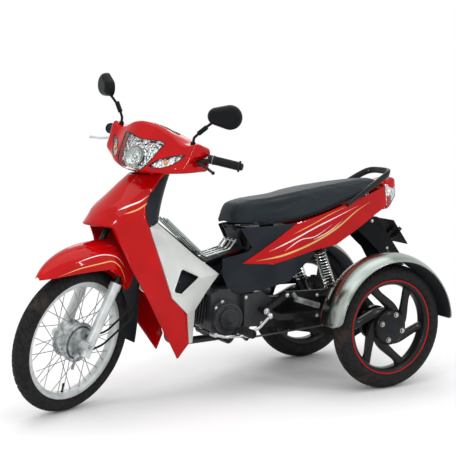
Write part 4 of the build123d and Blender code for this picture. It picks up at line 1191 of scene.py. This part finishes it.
def softbox(name, place, aim, size, watts):
    light = bpy.data.lights.new(name, "AREA")
    light.shape = "RECTANGLE"
    light.size, light.size_y = size
    light.energy = watts
    made = show(name, light)
    made.location = place
    made.rotation_euler = (Vector(aim) - Vector(place)).to_track_quat("-Z", "Y").to_euler()


softbox("light_top", (0.0, 0.2, 3.8), (0, 0, 0.4), (5.0, 3.4), 62)
softbox("light_camera_left", (3.4, 2.4, 2.2), (0.2, 0, 0.6), (0.14, 1.5), 32)
softbox("light_camera_right", (-2.2, 3.6, 2.4), (-0.2, 0, 0.5), (0.14, 1.5), 27)
softbox("light_back", (-1.5, -3.2, 2.4), (0, 0, 0.6), (2.4, 1.2), 18)

world = bpy.data.worlds.new("studio")
bpy.context.scene.world = world
world.use_nodes = True
sky = world.node_tree
backdrop = sky.nodes["Background"]
backdrop.inputs["Color"].default_value = (1, 1, 1, 1)
path = add(sky, "ShaderNodeLightPath")
either = add(sky, "ShaderNodeMath", operation="MAXIMUM")
any_seen = add(sky, "ShaderNodeMath", operation="MAXIMUM")
sky.links.new(path.outputs["Is Camera Ray"], either.inputs[0])
sky.links.new(path.outputs["Is Glossy Ray"], either.inputs[1])
sky.links.new(either.outputs[0], any_seen.inputs[0])
sky.links.new(path.outputs["Is Transmission Ray"], any_seen.inputs[1])
sky.links.new(span(sky, any_seen.outputs[0], 0.86, 1.0), backdrop.inputs["Strength"])

FLOOR_R, FLOOR_SIDES = 6.0, 64
FADE_FROM, FADE_TO = 0.9, 2.2
floor_mesh = bpy.data.meshes.new("floor")
ring = [(FLOOR_R * math.cos(angle), FLOOR_R * math.sin(angle), 0) for angle in turns(FLOOR_SIDES)]
floor_mesh.from_pydata(ring, [], [list(range(FLOOR_SIDES))])
floor = show("floor", floor_mesh)
floor_material, floor_tree, floor_shader = start("floor_white")
tone = blend_colours(floor_tree, noise(floor_tree, 1.5), (0.87, 0.87, 0.87), (0.89, 0.89, 0.89))
floor_tree.links.new(tone, floor_shader.inputs["Base Color"])
floor_shader.inputs["Roughness"].default_value = 0.9
floor_shader.inputs["Specular IOR Level"].default_value = 0.0
fade = span(floor_tree, distance_from(floor_tree, (0, 0, 0)), 0.0, 1.0, FADE_FROM, FADE_TO)
clear = add(floor_tree, "ShaderNodeBsdfTransparent")
mixed = add(floor_tree, "ShaderNodeMixShader")
floor_tree.links.new(fade, mixed.inputs["Fac"])
floor_tree.links.new(floor_shader.outputs["BSDF"], mixed.inputs[1])
floor_tree.links.new(clear.outputs["BSDF"], mixed.inputs[2])
floor_tree.links.new(mixed.outputs["Shader"], floor_tree.nodes["Material Output"].inputs["Surface"])
floor_mesh.materials.append(floor_material)
floor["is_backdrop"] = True

bpy.context.scene.view_settings.view_transform = "Standard"
low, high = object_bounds()
